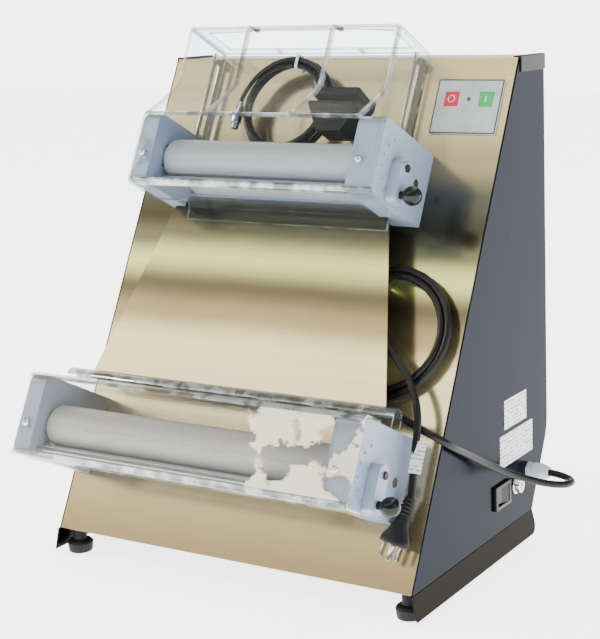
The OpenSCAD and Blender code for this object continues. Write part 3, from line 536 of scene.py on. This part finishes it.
def smooth(obj: bpy.types.Object, degrees: float = 35.0, broad: float = 7.0) -> None:
    """Shades an object smooth, but for its sharp edges and its broad flat faces."""
    only(obj)
    bpy.ops.object.shade_smooth_by_angle(angle=math.radians(degrees))
    for face in obj.data.polygons:
        if breadth(face, obj.data) > broad:
            face.use_smooth = False


def trim(obj: bpy.types.Object, kind: object, width: float) -> None:
    """Gives an object's narrow faces, its rims and bends, a finish of their own."""
    obj.data.materials.append(finish_of(kind))
    for face in obj.data.polygons:
        if breadth(face, obj.data) < width:
            face.material_index = 1


def prism(name: str, outline: Sequence[tuple[float, float]], x: float, length: float,
          matrix: Matrix | None = None) -> bpy.types.Object:
    """Extrudes a flat outline along X.

    Args:
        name: the new object's name.
        outline: depth and height of each corner in millimetres, in order.
        x: where the outline stands, in millimetres.
        length: how far it is extruded, in millimetres.
        matrix: moves the result into the row frame.

    Returns:
        The new object, at the origin.
    """
    bpy.ops.object.select_all(action="DESELECT")
    bpy.ops.mesh.primitive_circle_add(vertices=len(outline), radius=0.01, fill_type="NGON")
    obj = bpy.context.object
    obj.name = name
    for vertex, (y, z) in zip(obj.data.vertices, outline):
        vertex.co = Vector((x, y, z)) * MM
    bpy.ops.object.mode_set(mode="EDIT")
    bpy.ops.mesh.select_all(action="SELECT")
    bpy.ops.mesh.extrude_region_move(TRANSFORM_OT_translate={"value": (length * MM, 0.0, 0.0)})
    bpy.ops.mesh.select_all(action="SELECT")
    bpy.ops.mesh.normals_make_consistent(inside=False)
    bpy.ops.object.mode_set(mode="OBJECT")
    if matrix is not None:
        obj.data.transform(matrix)
    return obj


def copy_of(node: str, name: str) -> bpy.types.Object:
    """Copies a CAD node's mesh into a new object with whole faces."""
    obj = bpy.data.objects.new(name, NODES[node].data.copy())
    bpy.context.scene.collection.objects.link(obj)
    obj.data.materials.clear()
    only(obj)
    bpy.ops.object.mode_set(mode="EDIT")
    bpy.ops.mesh.select_all(action="SELECT")
    bpy.ops.mesh.remove_doubles(threshold=0.00002)
    bpy.ops.mesh.dissolve_limited(angle_limit=math.radians(0.6))
    bpy.ops.object.mode_set(mode="OBJECT")
    return obj


def round_edges(obj: bpy.types.Object, width: float, segments: int = 2, degrees: float = 32.0) -> None:
    """Rounds an object's sharp edges; width is in millimetres."""
    modify(obj, "BEVEL", width=width * MM, segments=segments, limit_method="ANGLE",
           angle_limit=math.radians(degrees), harden_normals=False, use_clamp_overlap=True)
    smooth(obj, 40.0)


def dress(obj: bpy.types.Object, body: str, slot: str, kind: object, *nodes: str) -> bpy.types.Object:
    """Gives a new piece its finish and its place in the frame.

    Args:
        obj: the piece.
        body: the CAD body it rides on.
        slot: the record's material slot; not used.
        kind: its finish.
        nodes: CAD nodes that it stands for.

    Returns:
        The piece.
    """
    obj.data.materials.clear()
    obj.data.materials.append(finish_of(kind))
    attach(obj, body)
    if nodes:
        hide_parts(*nodes)
    log.info("%s rides on %s", obj.name, body)
    return obj


def paint(kind: object, *nodes: str) -> None:
    """Gives CAD nodes a finish."""
    for node in nodes:
        NODES[node].data.materials.clear()
        NODES[node].data.materials.append(finish_of(kind))


def soften(node: str, body: str, slot: str, kind: object, width: float) -> bpy.types.Object:
    """Replaces a CAD node by its own shape with rounded edges."""
    obj = copy_of(node, node + "_soft")
    round_edges(obj, width)
    return dress(obj, body, slot, kind, node)


def joined(name: str, parts: Sequence[bpy.types.Object]) -> bpy.types.Object:
    """Joins objects into one."""
    bpy.ops.object.select_all(action="DESELECT")
    for part in parts:
        part.select_set(True)
    bpy.context.view_layer.objects.active = parts[0]
    bpy.ops.object.join()
    parts[0].name = name
    return parts[0]


def disc(name: str, radius: float, depth: float, place: Vector, turn: Matrix, bevel: float = 0.0,
         sides: int = 40) -> bpy.types.Object:
    """Makes a short round piece along its own Z, then turns and places it; sizes in millimetres."""
    bpy.ops.object.select_all(action="DESELECT")
    bpy.ops.mesh.primitive_cylinder_add(vertices=sides, radius=radius * MM, depth=depth * MM)
    obj = bpy.context.object
    obj.name = name
    obj.data.transform(Matrix.Translation(place) @ turn.to_4x4() @ Matrix.Translation((0, 0, depth * MM / 2)))
    if bevel:
        round_edges(obj, bevel)
    return obj


def slab(name: str, size: Point, place: Vector, turn: Matrix, bevel: float = 0.0) -> bpy.types.Object:
    """Makes a thin block centred on a place, then turned; sizes in millimetres."""
    bpy.ops.object.select_all(action="DESELECT")
    bpy.ops.mesh.primitive_cube_add(size=1.0)
    obj = bpy.context.object
    obj.name = name
    obj.data.transform(Matrix.Translation(place) @ turn.to_4x4()
                       @ Matrix.Diagonal((*(v * MM for v in size), 1.0)))
    if bevel:
        round_edges(obj, bevel)
    return obj


TO_PANEL = Matrix.Rotation(-LEAN, 3, "X")
OUT_OF_PANEL = TO_PANEL @ Matrix.Rotation(math.radians(90), 3, "X")
TO_RIGHT = Matrix.Rotation(math.radians(90), 3, "Y")


# ---------------------------------------------------------------- camera, light and floor

@dataclass
class Studio:
    """The camera, the lamps, the sky and the pale floor."""

    camera_at: Point = (1067.0, -1439.0, 722.0)
    yaw: float = 30.82
    pitch: float = -10.83
    roll: float = -1.84
    lens: float = 85.97
    shift: tuple[float, float] = (-0.094, -0.062)
    horizon: tuple[float, float] = (0.035, 0.085)
    horizon_glow: Colour = (5.0, 5.0, 5.0)
    sky_up: Point = (-0.458, 0.0, 1.0)
    sky_stops: tuple[tuple[float, Colour], ...] = (
        (0.0, (0.20, 0.26, 0.36)), (0.58, (0.22, 0.22, 0.22)), (0.68, (3.0, 2.75, 2.1)),
        (0.84, (3.2, 2.95, 2.3)), (0.90, (1.5, 1.35, 1.0)), (1.0, (0.30, 0.34, 0.42)))
    floor_glow: float = 3.6

    def camera(self) -> None:
        """Sets up the camera."""
        yaw, pitch, roll = (math.radians(v) for v in (self.yaw, self.pitch, self.roll))
        ahead = Vector((-math.sin(yaw) * math.cos(pitch), math.cos(yaw) * math.cos(pitch), math.sin(pitch)))
        right = Vector((math.cos(yaw), math.sin(yaw), 0.0))
        up = right.cross(ahead)
        right, up = right * math.cos(roll) + up * math.sin(roll), up * math.cos(roll) - right * math.sin(roll)
        data = bpy.data.cameras.new("camera")
        data.lens = self.lens
        data.shift_x, data.shift_y = self.shift
        data.clip_end = 50.0
        camera = bpy.data.objects.new("camera", data)
        bpy.context.scene.collection.objects.link(camera)
        turn = Matrix((right, up, -ahead)).transposed()
        camera.matrix_world = Matrix.Translation(PANEL.base(*self.camera_at)) @ turn.to_4x4()
        bpy.context.scene.camera = camera

    def lamp(self, name: str, place: Point, aim: Point, size: float, watts: float, colour: Colour) -> None:
        """Adds a square area lamp aimed at a point; lengths in metres."""
        data = bpy.data.lights.new(name, "AREA")
        data.size = size
        data.energy = watts
        data.color = colour
        lamp = bpy.data.objects.new(name, data)
        bpy.context.scene.collection.objects.link(lamp)
        lamp.location = place
        lamp.rotation_euler = (Vector(aim) - Vector(place)).to_track_quat("-Z", "Y").to_euler()

    def sky(self) -> None:
        """Makes the room white up to its horizon, with a warm bright band in a dim sky above."""
        world = bpy.data.worlds.new("room")
        bpy.context.scene.world = world
        world.use_nodes = True
        tree = world.node_tree
        spot = tree.nodes.new("ShaderNodeTexCoord")
        split = tree.nodes.new("ShaderNodeSeparateXYZ")
        slant = tree.nodes.new("ShaderNodeVectorMath")
        slant.operation = "DOT_PRODUCT"
        slant.inputs[1].default_value = self.sky_up
        ramp = tree.nodes.new("ShaderNodeValToRGB")
        rise = tree.nodes.new("ShaderNodeMapRange")
        rise.inputs["From Min"].default_value, rise.inputs["From Max"].default_value = self.horizon
        both = tree.nodes.new("ShaderNodeMix")
        both.data_type = "RGBA"
        both.inputs[6].default_value = (*self.horizon_glow, 1.0)
        tree.links.new(spot.outputs["Generated"], split.inputs[0])
        tree.links.new(spot.outputs["Generated"], slant.inputs[0])
        tree.links.new(slant.outputs["Value"], ramp.inputs[0])
        tree.links.new(split.outputs[2], rise.inputs["Value"])
        tree.links.new(rise.outputs[0], both.inputs[0])
        tree.links.new(ramp.outputs[0], both.inputs[7])
        set_stops(ramp.color_ramp, self.sky_stops)
        back = tree.nodes["Background"]
        tree.links.new(both.outputs[2], back.inputs[0])

    def floor(self) -> None:
        """Lays the pale floor."""
        bpy.ops.object.select_all(action="DESELECT")
        bpy.ops.mesh.primitive_plane_add(size=16.0)
        floor = bpy.context.object
        floor.name = "floor"
        g = Graph("pale_floor")
        cloud = g.noise(g.place(), 3.0, 2.0)
        colour = g.mix(cloud, (0.93, 0.93, 0.93), (0.95, 0.95, 0.95))
        floor.data.materials.append(g.finish(g.surface(
            Base_Color=colour, Roughness=0.9, Emission_Color=(1.0, 1.0, 1.0),
            Emission_Strength=self.floor_glow)))

    def build(self) -> None:
        """Sets up the whole studio."""
        self.camera()
        self.lamp("key", (-3.1, -1.3, 1.9), (0.0, 0.0, 0.3), 0.5, 55.0, (1.0, 0.93, 0.80))
        self.lamp("fill", (2.8, -0.3, 1.4), (0.0, 0.0, 0.3), 1.4, 14.0, (0.55, 0.76, 1.0))
        self.lamp("top", (0.2, 0.9, 3.0), (0.0, 0.0, 0.3), 2.4, 22.0, (1.0, 1.0, 1.0))
        self.sky()
        self.floor()


# ---------------------------------------------------------------- cords

def spline(points: Sequence[Vector], steps: int) -> list[Vector]:
    """Runs a smooth curve through points.

    Args:
        points: the route.
        steps: pieces in each stretch.

    Returns:
        The finer route.
    """
    out: list[Vector] = []
    last = len(points) - 1
    for i in range(last):
        a, b, c, d = points[max(i - 1, 0)], points[i], points[i + 1], points[min(i + 2, last)]
        for k in range(steps):
            t = k / steps
            out.append(0.5 * (2 * b + (c - a) * t + (2 * a - 5 * b + 4 * c - d) * t * t
                              + (3 * b - a - 3 * c + d) * t * t * t))
    return out + [points[last]]


def route_length(path: Sequence[Vector]) -> float:
    """Adds up the straight pieces of a path."""
    return sum((b - a).length for a, b in zip(path, path[1:]))


def cord_curve(name: str, path: Sequence[Vector], diameter: float, body: str,
               kind: object) -> bpy.types.Object:
    """Makes a round cord as a curve of one open spline.

    Args:
        name: the piece's name.
        path: its route in metres.
        diameter: its diameter in millimetres.
        body: the CAD body it rides on.
        kind: its finish.

    Returns:
        The curve object.
    """
    data = bpy.data.curves.new(name, "CURVE")
    data.dimensions = "3D"
    data.bevel_depth = diameter * MM / 2
    data.bevel_resolution = 5
    data.use_fill_caps = True
    line = data.splines.new("POLY")
    line.points.add(len(path) - 1)
    for point, place in zip(line.points, path):
        point.co = (*place, 1.0)
    obj = bpy.data.objects.new(name, data)
    bpy.context.scene.collection.objects.link(obj)
    data.materials.append(finish_of(kind))
    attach(obj, body)
    return obj


def turns(centre: tuple[float, float], stations: Sequence[Point], wobble: float,
          step: float = 12.0) -> list[Vector]:
    """Winds a flat coil in front of the panel.

    Args:
        centre: its x and s.
        stations: angle in degrees, radius and n, where the winding changes.
        wobble: how far its rings are from round.
        step: degrees between points.

    Returns:
        Places in metres.
    """
    out = []
    total = abs(stations[-1][0] - stations[0][0])
    for first, last in zip(stations, stations[1:]):
        count = max(round(abs(last[0] - first[0]) / step), 1)
        for i in range(count):
            angle, radius, n = (a + (b - a) * i / count for a, b in zip(first, last))
            done = abs(angle - stations[0][0]) / total
            radius += wobble * math.sin(math.radians(2 * angle + 40)) * min(1.0, 6 * done, 6 * (1 - done))
            out.append(PANEL.at(centre[0] + radius * math.cos(math.radians(angle)), n,
                                centre[1] + radius * math.sin(math.radians(angle))))
    return out


@dataclass
class MainsLead:
    """The black mains lead: gland, loop over the side, coil behind the chute, and hanging plug."""

    diameter: float = 9.0
    route: tuple[Point, ...] = ((286, 321, 93), (302, 321, 93), (317, 318, 92), (329, 310, 92), (336, 297, 93),
        (335, 281, 95), (326, 264, 99), (312, 246, 106), (298, 224, 117), (287, 198, 131), (279, 168, 148),
        (275, 138, 165), (273, 112, 179), (272, 95, 188), (268, 80, 198), (256, 72, 207), (240, 72, 213),
        (220, 76, 219), (200, 82, 225), (182, 87, 230))
    tail: tuple[Point, ...] = ((106, 14, 334), (118, 18, 328), (138, 24, 315), (160, 28, 299), (181, 30, 281),
        (202, 31, 264), (219, 31, 246), (232, 31, 226), (240, 30, 205), (243, 28, 185), (244, 25, 160),
        (246, 22, 136), (248, 20, 110))
    coil_at: tuple[float, float] = (165.0, 300.0)

    def path(self) -> list[Vector]:
        """Gives the whole route in metres."""
        lead = spline([PANEL.base(*p) for p in self.route], 4)
        coil = turns(self.coil_at, ((-79.0, 89.6, 12.4), (-931.0, 68.5, 13.5)), 2.0)
        tail = spline([PANEL.at(*p) for p in self.tail], 4)
        return lead + coil[1:] + tail

    def hang(self, drop: float) -> Matrix:
        """Gives the frame of the plug, a drop in millimetres below the end of the lead."""
        slant = math.radians(10)
        place = PANEL.at(248 - drop * math.sin(slant), 20, 110 - drop * math.cos(slant))
        return Matrix.Translation(place) @ TO_PANEL.to_4x4() @ Matrix.Rotation(slant, 4, "Y")

    def plug(self) -> bpy.types.Object:
        """Lofts the plug's bell from its relief down to its flange."""
        bpy.ops.object.select_all(action="DESELECT")
        bpy.ops.mesh.primitive_circle_add(vertices=40, radius=5.6 * MM, fill_type="NGON")
        body = bpy.context.object
        body.name = "plug"
        sections = ((25.0, 7.4, 7.4), (27.0, 9.0, 8.4), (33.0, 9.8, 8.8), (39.0, 12.4, 9.4), (46.0, 16.0, 10.0),
                    (51.0, 18.6, 10.8), (52.5, 19.0, 11.0), (57.0, 19.0, 11.0), (58.0, 18.2, 10.2))
        bpy.ops.object.mode_set(mode="EDIT")
        bpy.ops.mesh.select_all(action="SELECT")
        drop, wide, deep = 0.0, 5.6, 5.6
        for down, new_wide, new_deep in sections:
            bpy.ops.mesh.extrude_region_move(TRANSFORM_OT_translate={"value": (0.0, 0.0, (drop - down) * MM)})
            bpy.ops.transform.resize(value=(new_wide / wide, new_deep / deep, 1.0))
            drop, wide, deep = down, new_wide, new_deep
        bpy.ops.mesh.select_all(action="SELECT")
        bpy.ops.mesh.normals_make_consistent(inside=False)
        bpy.ops.object.mode_set(mode="OBJECT")
        body.data.transform(self.hang(0.0))
        smooth(body, 40.0, 12.0)
        return dress(body, "housing", "cable_sheath", BLACK, "mains_plug")

    def pins(self) -> bpy.types.Object:
        """Sets the plug's flat pins."""
        turn = TO_PANEL @ Matrix.Rotation(math.radians(10), 3, "Y")
        pins = [slab("pin", (2.0, 8.0, 17.0), self.hang(66.0) @ Vector((x * MM, 0.0, 0.0)), turn, 0.4)
                for x in (-11.0, 11.0)]
        pins.append(slab("pin", (6.0, 2.4, 20.0), self.hang(67.5) @ Vector((0.0, 0.0, 0.0)), turn, 0.4))
        return dress(joined("plug_pins", pins), "housing", "bright_steel", CHROME)

    def relief_rings(self) -> bpy.types.Object:
        """Adds the ribs of the strain relief over the plug."""
        rings = []
        for i in range(5):
            bpy.ops.object.select_all(action="DESELECT")
            bpy.ops.mesh.primitive_torus_add(major_segments=32, minor_segments=8, major_radius=(6.2 + i * 0.45) * MM,
                                             minor_radius=1.3 * MM)
            ring = bpy.context.object
            ring.data.transform(self.hang(3.0 + i * 4.6))
            rings.append(ring)
        ribs = joined("plug_ribs", rings)
        smooth(ribs)
        return dress(ribs, "housing", "cable_sheath", BLACK)

    def tag(self) -> bpy.types.Object:
        """Sets the flat paper tag beside the hanging stretch."""
        tag = slab("lead_tag", (17.0, 0.5, 38.0), PANEL.at(250.5, 29.0, 155), TO_PANEL, 0.2)
        return dress(tag, "housing", "label_white", TAG)

    def build(self) -> None:
        """Makes the lead and what is on it."""
        path = self.path()
        lead = cord_curve("lead", path, self.diameter, "housing", SHEATH)
        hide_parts("mains_lead", "mains_coil", "mains_tail")
        plug, pins, ribs, tag = self.plug(), self.pins(), self.relief_rings(), self.tag()
        gland = soften("cable_gland", "housing", "gland_grey", GLAND, 0.8)
        log.info("mains lead is %.3f m long", route_length(path))
        round(route_length(path), 2)


@dataclass
class PedalLead:
    """The pedal's lead, wound in a ring inside the hopper, with its tie and connector."""

    diameter: float = 6.0
    centre: tuple[float, float] = (-44.0, 590.0)

    def path(self) -> list[Vector]:
        """Gives the route from the pedal round the coil to the connector."""
        start = spline([PANEL.at(*p) for p in ((30, 36, 568), (30, 33, 568.4), (29, 27, 571.5), (26.5, 22, 577.5),
                                               (22.5, 19.8, 585))], 4)
        coil = turns(self.centre, ((3.0, 63.5, 19.3), (40.0, 61.5, 19.3), (700.0, 67.3, 19.3), (745.0, 67.3, 26.0),
                                   (1420.0, 54.0, 26.0), (1465.0, 54.0, 32.6), (1930.0, 66.5, 32.6)), 0.5)
        end = spline([PANEL.at(*p) for p in ((-86.5, 32.3, 641), (-98, 31, 631.5), (-107.5, 29, 621),
                                             (-115, 26.5, 610), (-119.5, 24.6, 601), (-121, 24, 594))], 3)
        return start + coil + end

    def tie(self) -> bpy.types.Object:
        """Wraps the white tie round the top of the coil."""
        ring = prism("coil_tie", [(-36.8, 644.0), (-34.0, 640.5), (-18.0, 640.5), (-15.2, 644.0), (-15.2, 657.5),
                                  (-18.0, 661.0), (-34.0, 661.0), (-36.8, 657.5)], -40.0, 4.0, PANEL.matrix)
        only(ring)
        bpy.ops.object.mode_set(mode="EDIT")
        pick(ring, "FACE", lambda f: abs(f.normal.x) > 0.9)
        bpy.ops.mesh.delete(type="FACE")
        bpy.ops.object.mode_set(mode="OBJECT")
        modify(ring, "SOLIDIFY", thickness=0.9 * MM, offset=-1.0)
        round_edges(ring, 0.35)
        return dress(ring, "housing", "label_white", INK)

    def build(self) -> None:
        """Makes the lead and what is on it."""
        path = self.path()
        lead = cord_curve("pedal_lead", path, self.diameter, "housing", SHEATH)
        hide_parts("pedal_coil")
        tie = self.tie()
        connector = soften("pedal_connector", "housing", "bright_steel", CHROME, 0.6)
        log.info("pedal lead is %.3f m long", route_length(path))
        tuple(PANEL.at(30, 36, 568))
        round(route_length(path), 2)


# ---------------------------------------------------------------- the machine

@dataclass
class Housing:
    """Sheet-metal body, chute, feet and caps."""

    edge: float = 0.7

    def build(self) -> None:
        """Dresses the sheet metal and softens its edges."""
        for node in ("front_panel", "chute_plate"):
            soften(node, "housing", "stainless", FRONT_STEEL, self.edge)
        for node in ("left_side_panel", "right_side_panel", "rear_panel"):
            soften(node, "housing", "stainless", SIDE_STEEL_PAINTED_DARK, self.edge)
        soften("skirts", "housing", "stainless", SKIRT_STEEL_PAINTED_DARK, self.edge)
        soften("rubber_feet", "housing", "black_rubber", RUBBER, 1.0)
        soften("corner_caps", "housing", "black_plastic", BLACK, 0.6)
        soften("hopper_brackets", "housing", "stainless", STEEL, 0.5)
        paint(SIDE_STEEL_PAINTED_DARK, "base_plate")
        paint(LABEL, "rating_labels")
        self.panel_screws()

    def panel_screws(self) -> None:
        """Puts the rear panel's screws in rows, sunk just below its face."""
        low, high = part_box("rear_panel")
        turn = Matrix.Rotation(math.radians(-90), 3, "X")
        heads = []
        for x in (-0.238, 0.0, 0.238):
            for z in (high[2] - 0.02, (high[2] + 0.16) / 2, 0.165):
                heads.append(disc("screw", 4.2, 1.8, Vector((x, high[1] - 0.0019, z)), turn, 0.7, 24))
        dress(joined("rear_screws", heads), "housing", "bright_steel", CHROME)


@dataclass
class Keypad:
    """Silver keypad with its rim, buttons, symbols and lamp."""

    at: tuple[float, float] = (207.0, 603.0)
    size: tuple[float, float] = (91.0, 73.0)
    face_n: float = 3.0
    stop: tuple[float, float] = (184.0, 613.0)
    start: tuple[float, float] = (232.0, 613.0)

    def rim(self) -> None:
        """Runs a dark line round the keypad's face."""
        bpy.ops.object.select_all(action="DESELECT")
        bpy.ops.mesh.primitive_plane_add(size=1.0)
        rim = bpy.context.object
        rim.name = "keypad_rim"
        place = PANEL.at(self.at[0], self.face_n + 0.02, self.at[1])
        rim.data.transform(Matrix.Translation(place) @ OUT_OF_PANEL.to_4x4()
                           @ Matrix.Diagonal((self.size[0] * MM, self.size[1] * MM, 1.0, 1.0)))
        bpy.ops.object.mode_set(mode="EDIT")
        bpy.ops.mesh.select_all(action="SELECT")
        bpy.ops.mesh.inset(thickness=1.6 * MM)
        bpy.ops.mesh.delete(type="FACE")
        bpy.ops.object.mode_set(mode="OBJECT")
        modify(rim, "SOLIDIFY", thickness=0.25 * MM, offset=1.0)
        dress(rim, "housing", "black_plastic", DARK_INK)

    def build(self) -> None:
        """Makes the keypad."""
        soften("keypad_panel", "housing", "keypad_foil", FOIL, 0.6)
        soften("stop_button", "stop_button_body", "stop_red", RED, 1.0)
        soften("start_button", "start_button_body", "start_green", GREEN, 1.0)
        soften("status_lamp", "housing", "lamp_lens", LENS, 0.4)
        self.rim()
        bpy.ops.object.select_all(action="DESELECT")
        bpy.ops.mesh.primitive_torus_add(major_segments=40, minor_segments=6, major_radius=4.4 * MM,
                                         minor_radius=0.75 * MM)
        ring = bpy.context.object
        ring.name = "stop_symbol"
        ring.data.transform(Matrix.Translation(PANEL.at(self.stop[0], 3.75, self.stop[1])) @ OUT_OF_PANEL.to_4x4()
                            @ Matrix.Diagonal((1.0, 1.0, 0.3, 1.0)))
        smooth(ring)
        dress(ring, "stop_button_body", "label_white", INK)
        bar = slab("start_symbol", (1.6, 0.3, 8.5), PANEL.at(self.start[0], 3.95, self.start[1]),
                   TO_PANEL, 0.1)
        dress(bar, "start_button_body", "label_white", INK)


@dataclass
class SwitchGroup:
    """Power rocker and pedal socket on the right side."""

    def build(self) -> None:
        """Dresses the switch and the socket."""
        soften("switch_frame", "housing", "black_plastic", BLACK, 0.6)
        soften("power_rocker", "rocker_body", "black_plastic", GLOSSY_BLACK, 0.5)
        soften("pedal_socket", "housing", "bright_steel", CHROME, 0.4)
        turn = TO_RIGHT
        pins = [disc("pin", 0.8, 6.0, PANEL.base(262.0, 281 + 2.8 * math.cos(a), 84 + 2.8 * math.sin(a)), turn, 0.2, 16)
                for a in (math.radians(30 + 72 * i) for i in range(5))]
        dress(joined("socket_pins", pins), "housing", "bright_steel", CHROME)


@dataclass
class RollerUnit:
    """One pair of rollers between its cheeks, with the thickness lever."""

    name: str
    x1: float
    axis_s: float
    moving_n: float = 85.7
    lever_r: float = 34.0

    def scale(self) -> None:
        """Engraves the lever's scale on the gear cover."""
        marks = []
        for i in range(19):
            angle = math.radians(i * 150 / 18)
            length = 4.0 if i % 3 == 0 else 2.4
            radius = self.lever_r + 8.0 - length / 2
            place = PANEL.at(self.x1 + 0.06, self.moving_n + radius * math.sin(angle),
                             self.axis_s - radius * math.cos(angle))
            turn = TO_PANEL @ Matrix.Rotation(-angle, 3, "X")
            marks.append(slab("mark", (0.2, 0.5, length), place, turn))
        dress(joined(self.name + "_lever_scale", marks), "housing", "black_plastic", DARK_INK)

    def build(self) -> None:
        """Dresses the unit."""
        n = self.name
        for node in ("left_cheek", "right_cheek", "gear_cover"):
            soften(f"{n}_{node}", "housing", "hdpe", WHITE, 1.2)
        paint(ROLLER, f"{n}_fixed_roller", f"{n}_moving_roller")
        paint(BRIGHT, f"{n}_fixed_shaft", f"{n}_moving_shaft", f"{n}_carriages", f"{n}_lay_shaft")
        soften(f"{n}_lever", f"{n}_lever_body", "hdpe", WHITE, 1.6)
        paint(GLOSSY_BLACK, f"{n}_lever_knob")
        bolt = disc(n + "_pivot_bolt", 5.0, 2.6, PANEL.at(self.x1 + 15.4, self.moving_n, self.axis_s),
                    TO_RIGHT, 0.8)
        dress(bolt, f"{n}_lever_body", "black_plastic", BLACK)
        self.scale()


@dataclass
class Hopper:
    """The clear hopper: a moulded upper box over the CAD cover's lower band."""

    x0: float = -186.0
    x1: float = 139.0
    top_s: float = 679.0
    seam_s: float = 538.0
    wall: float = 3.0
    ribs: tuple[float, float] = (-89.0, 40.0)

    def outline(self) -> list[tuple[float, float]]:
        """Gives the box's side outline as -n and s."""
        front = [(-88.0, self.top_s), (-86.5, 640.0), (-85.2, 610.0), (-86.5, 598.0), (-90.0, 590.0),
                 (-96.0, 581.5), (-114.0, 559.0), (-124.0, 548.0), (-130.0, 541.5), (-133.0, self.seam_s)]
        return [(-0.5, self.seam_s), (-0.5, self.top_s)] + front

    def box(self) -> bpy.types.Object:
        """Moulds the upper box."""
        box = prism("hopper_box", self.outline(), self.x0, self.x1 - self.x0)
        only(box)
        bpy.ops.object.mode_set(mode="EDIT")
        for x in self.ribs:
            for dx in (-3.2, -1.0, 1.0, 3.2):
                bpy.ops.mesh.select_all(action="SELECT")
                bpy.ops.mesh.bisect(plane_co=((x + dx) * MM, 0.0, 0.0), plane_no=(1.0, 0.0, 0.0))
        inner = [(x + dx) * MM for x in self.ribs for dx in (-1.0, 1.0)]
        pick(box, "VERT", lambda v: v.co.y < -0.06 and v.co.z > 0.54
             and any(abs(v.co.x - x) < 1e-5 for x in inner))
        bpy.ops.transform.translate(value=(0.0, 2.0 * MM, 0.0))
        ends = (self.x0 * MM, self.x1 * MM)
        seam, rear = self.seam_s * MM, -0.5 * MM

        def rim(e: bmesh.types.BMEdge) -> bool:
            """Says whether an edge is on the rim of an end wall, away from the seam and the panel."""
            a, b = e.verts
            at_end = any(abs(a.co.x - x) < 1e-6 and abs(b.co.x - x) < 1e-6 for x in ends)
            at_seam = abs(a.co.z - seam) < 1e-6 and abs(b.co.z - seam) < 1e-6
            at_rear = abs(a.co.y - rear) < 1e-6 and abs(b.co.y - rear) < 1e-6
            at_top = abs(a.co.z - self.top_s * MM) < 1e-6 and abs(b.co.z - self.top_s * MM) < 1e-6
            front_top = at_top and abs(a.co.y + 0.088) < 1e-6 and abs(b.co.y + 0.088) < 1e-6
            return (at_end and not at_seam and not at_rear) or front_top
        pick(box, "EDGE", rim)
        bpy.ops.mesh.bevel(offset=9.0 * MM, segments=5, affect="EDGES", clamp_overlap=True)
        pick(box, "FACE", lambda f: f.normal.z < -0.99 or f.normal.y > 0.99)
        bpy.ops.mesh.delete(type="FACE")
        pick(box, "FACE", lambda f: f.normal.z > 0.999 and f.calc_area() > 0.0001)
        bpy.ops.mesh.inset(thickness=15.0 * MM, use_boundary=True)
        bpy.ops.mesh.delete(type="FACE")
        bpy.ops.object.mode_set(mode="OBJECT")
        modify(box, "SOLIDIFY", thickness=self.wall * MM, offset=-1.0)
        box.data.transform(PANEL.matrix)
        round_edges(box, 0.7, 2, 50.0)
        return box

    def band(self) -> bpy.types.Object:
        """Keeps the CAD cover below the seam."""
        band = copy_of("hopper_cover", "hopper_band")
        only(band)
        bpy.ops.object.mode_set(mode="EDIT")
        bpy.ops.mesh.select_all(action="SELECT")
        bpy.ops.mesh.bisect(plane_co=PANEL.at(0, 0, self.seam_s), plane_no=TO_PANEL @ Vector((0, 0, 1)),
                            use_fill=True, clear_outer=True)
        bpy.ops.object.mode_set(mode="OBJECT")
        round_edges(band, 0.8, 2)
        return band

    def build(self) -> None:
        """Makes the hopper."""
        for piece in (self.box(), self.band()):
            dress(piece, "housing", "clear_plastic", CLEAR, "hopper_cover")
            trim(piece, RIM, 4.4)


@dataclass
class ClearGuards:
    """The lower cover and the guard bar."""

    def build(self) -> None:
        """Dresses the clear pieces."""
        trim(soften("lower_cover", "housing", "clear_plastic", FILMED, 0.9), RIM, 4.6)
        trim(soften("finger_guard", "housing", "clear_plastic", CLEAR, 0.5), RIM, 2.4)


@dataclass
class Pedal:
    """The foot pedal stored in the hopper."""

    def build(self) -> None:
        """Dresses the pedal and its treadle."""
        soften("pedal_base", "housing", "black_plastic", BLACK, 2.0)
        soften("pedal_treadle", "treadle_body", "pedal_grey", PEDAL, 1.2)


@dataclass
class Inside:
    """Drive, gears and controls inside the housing, with the small fasteners."""

    def build(self) -> None:
        """Paints the parts that keep their CAD shape."""
        paint(PAINT, "gearmotor")
        paint(CASE, "control_box")
        paint(BRIGHT, "drive_sprocket", "drive_chain", "bearing_plates", "tie_rods")
        paint(WHITE, "scrapers")
        paint(CHROME, "cover_screws")


def main() -> None:
    """Builds the studio and the machine, and reports its pieces."""
    logging.basicConfig(level=logging.INFO, format="%(name)s: %(message)s")
    Studio().build()
    MainsLead().build()
    PedalLead().build()
    Housing().build()
    Keypad().build()
    SwitchGroup().build()
    RollerUnit("upper", 174.0, 488.0).build()
    RollerUnit("lower", 229.0, 122.0).build()
    Hopper().build()
    ClearGuards().build()
    Pedal().build()
    Inside().build()


if __name__ == "__main__":
    main()
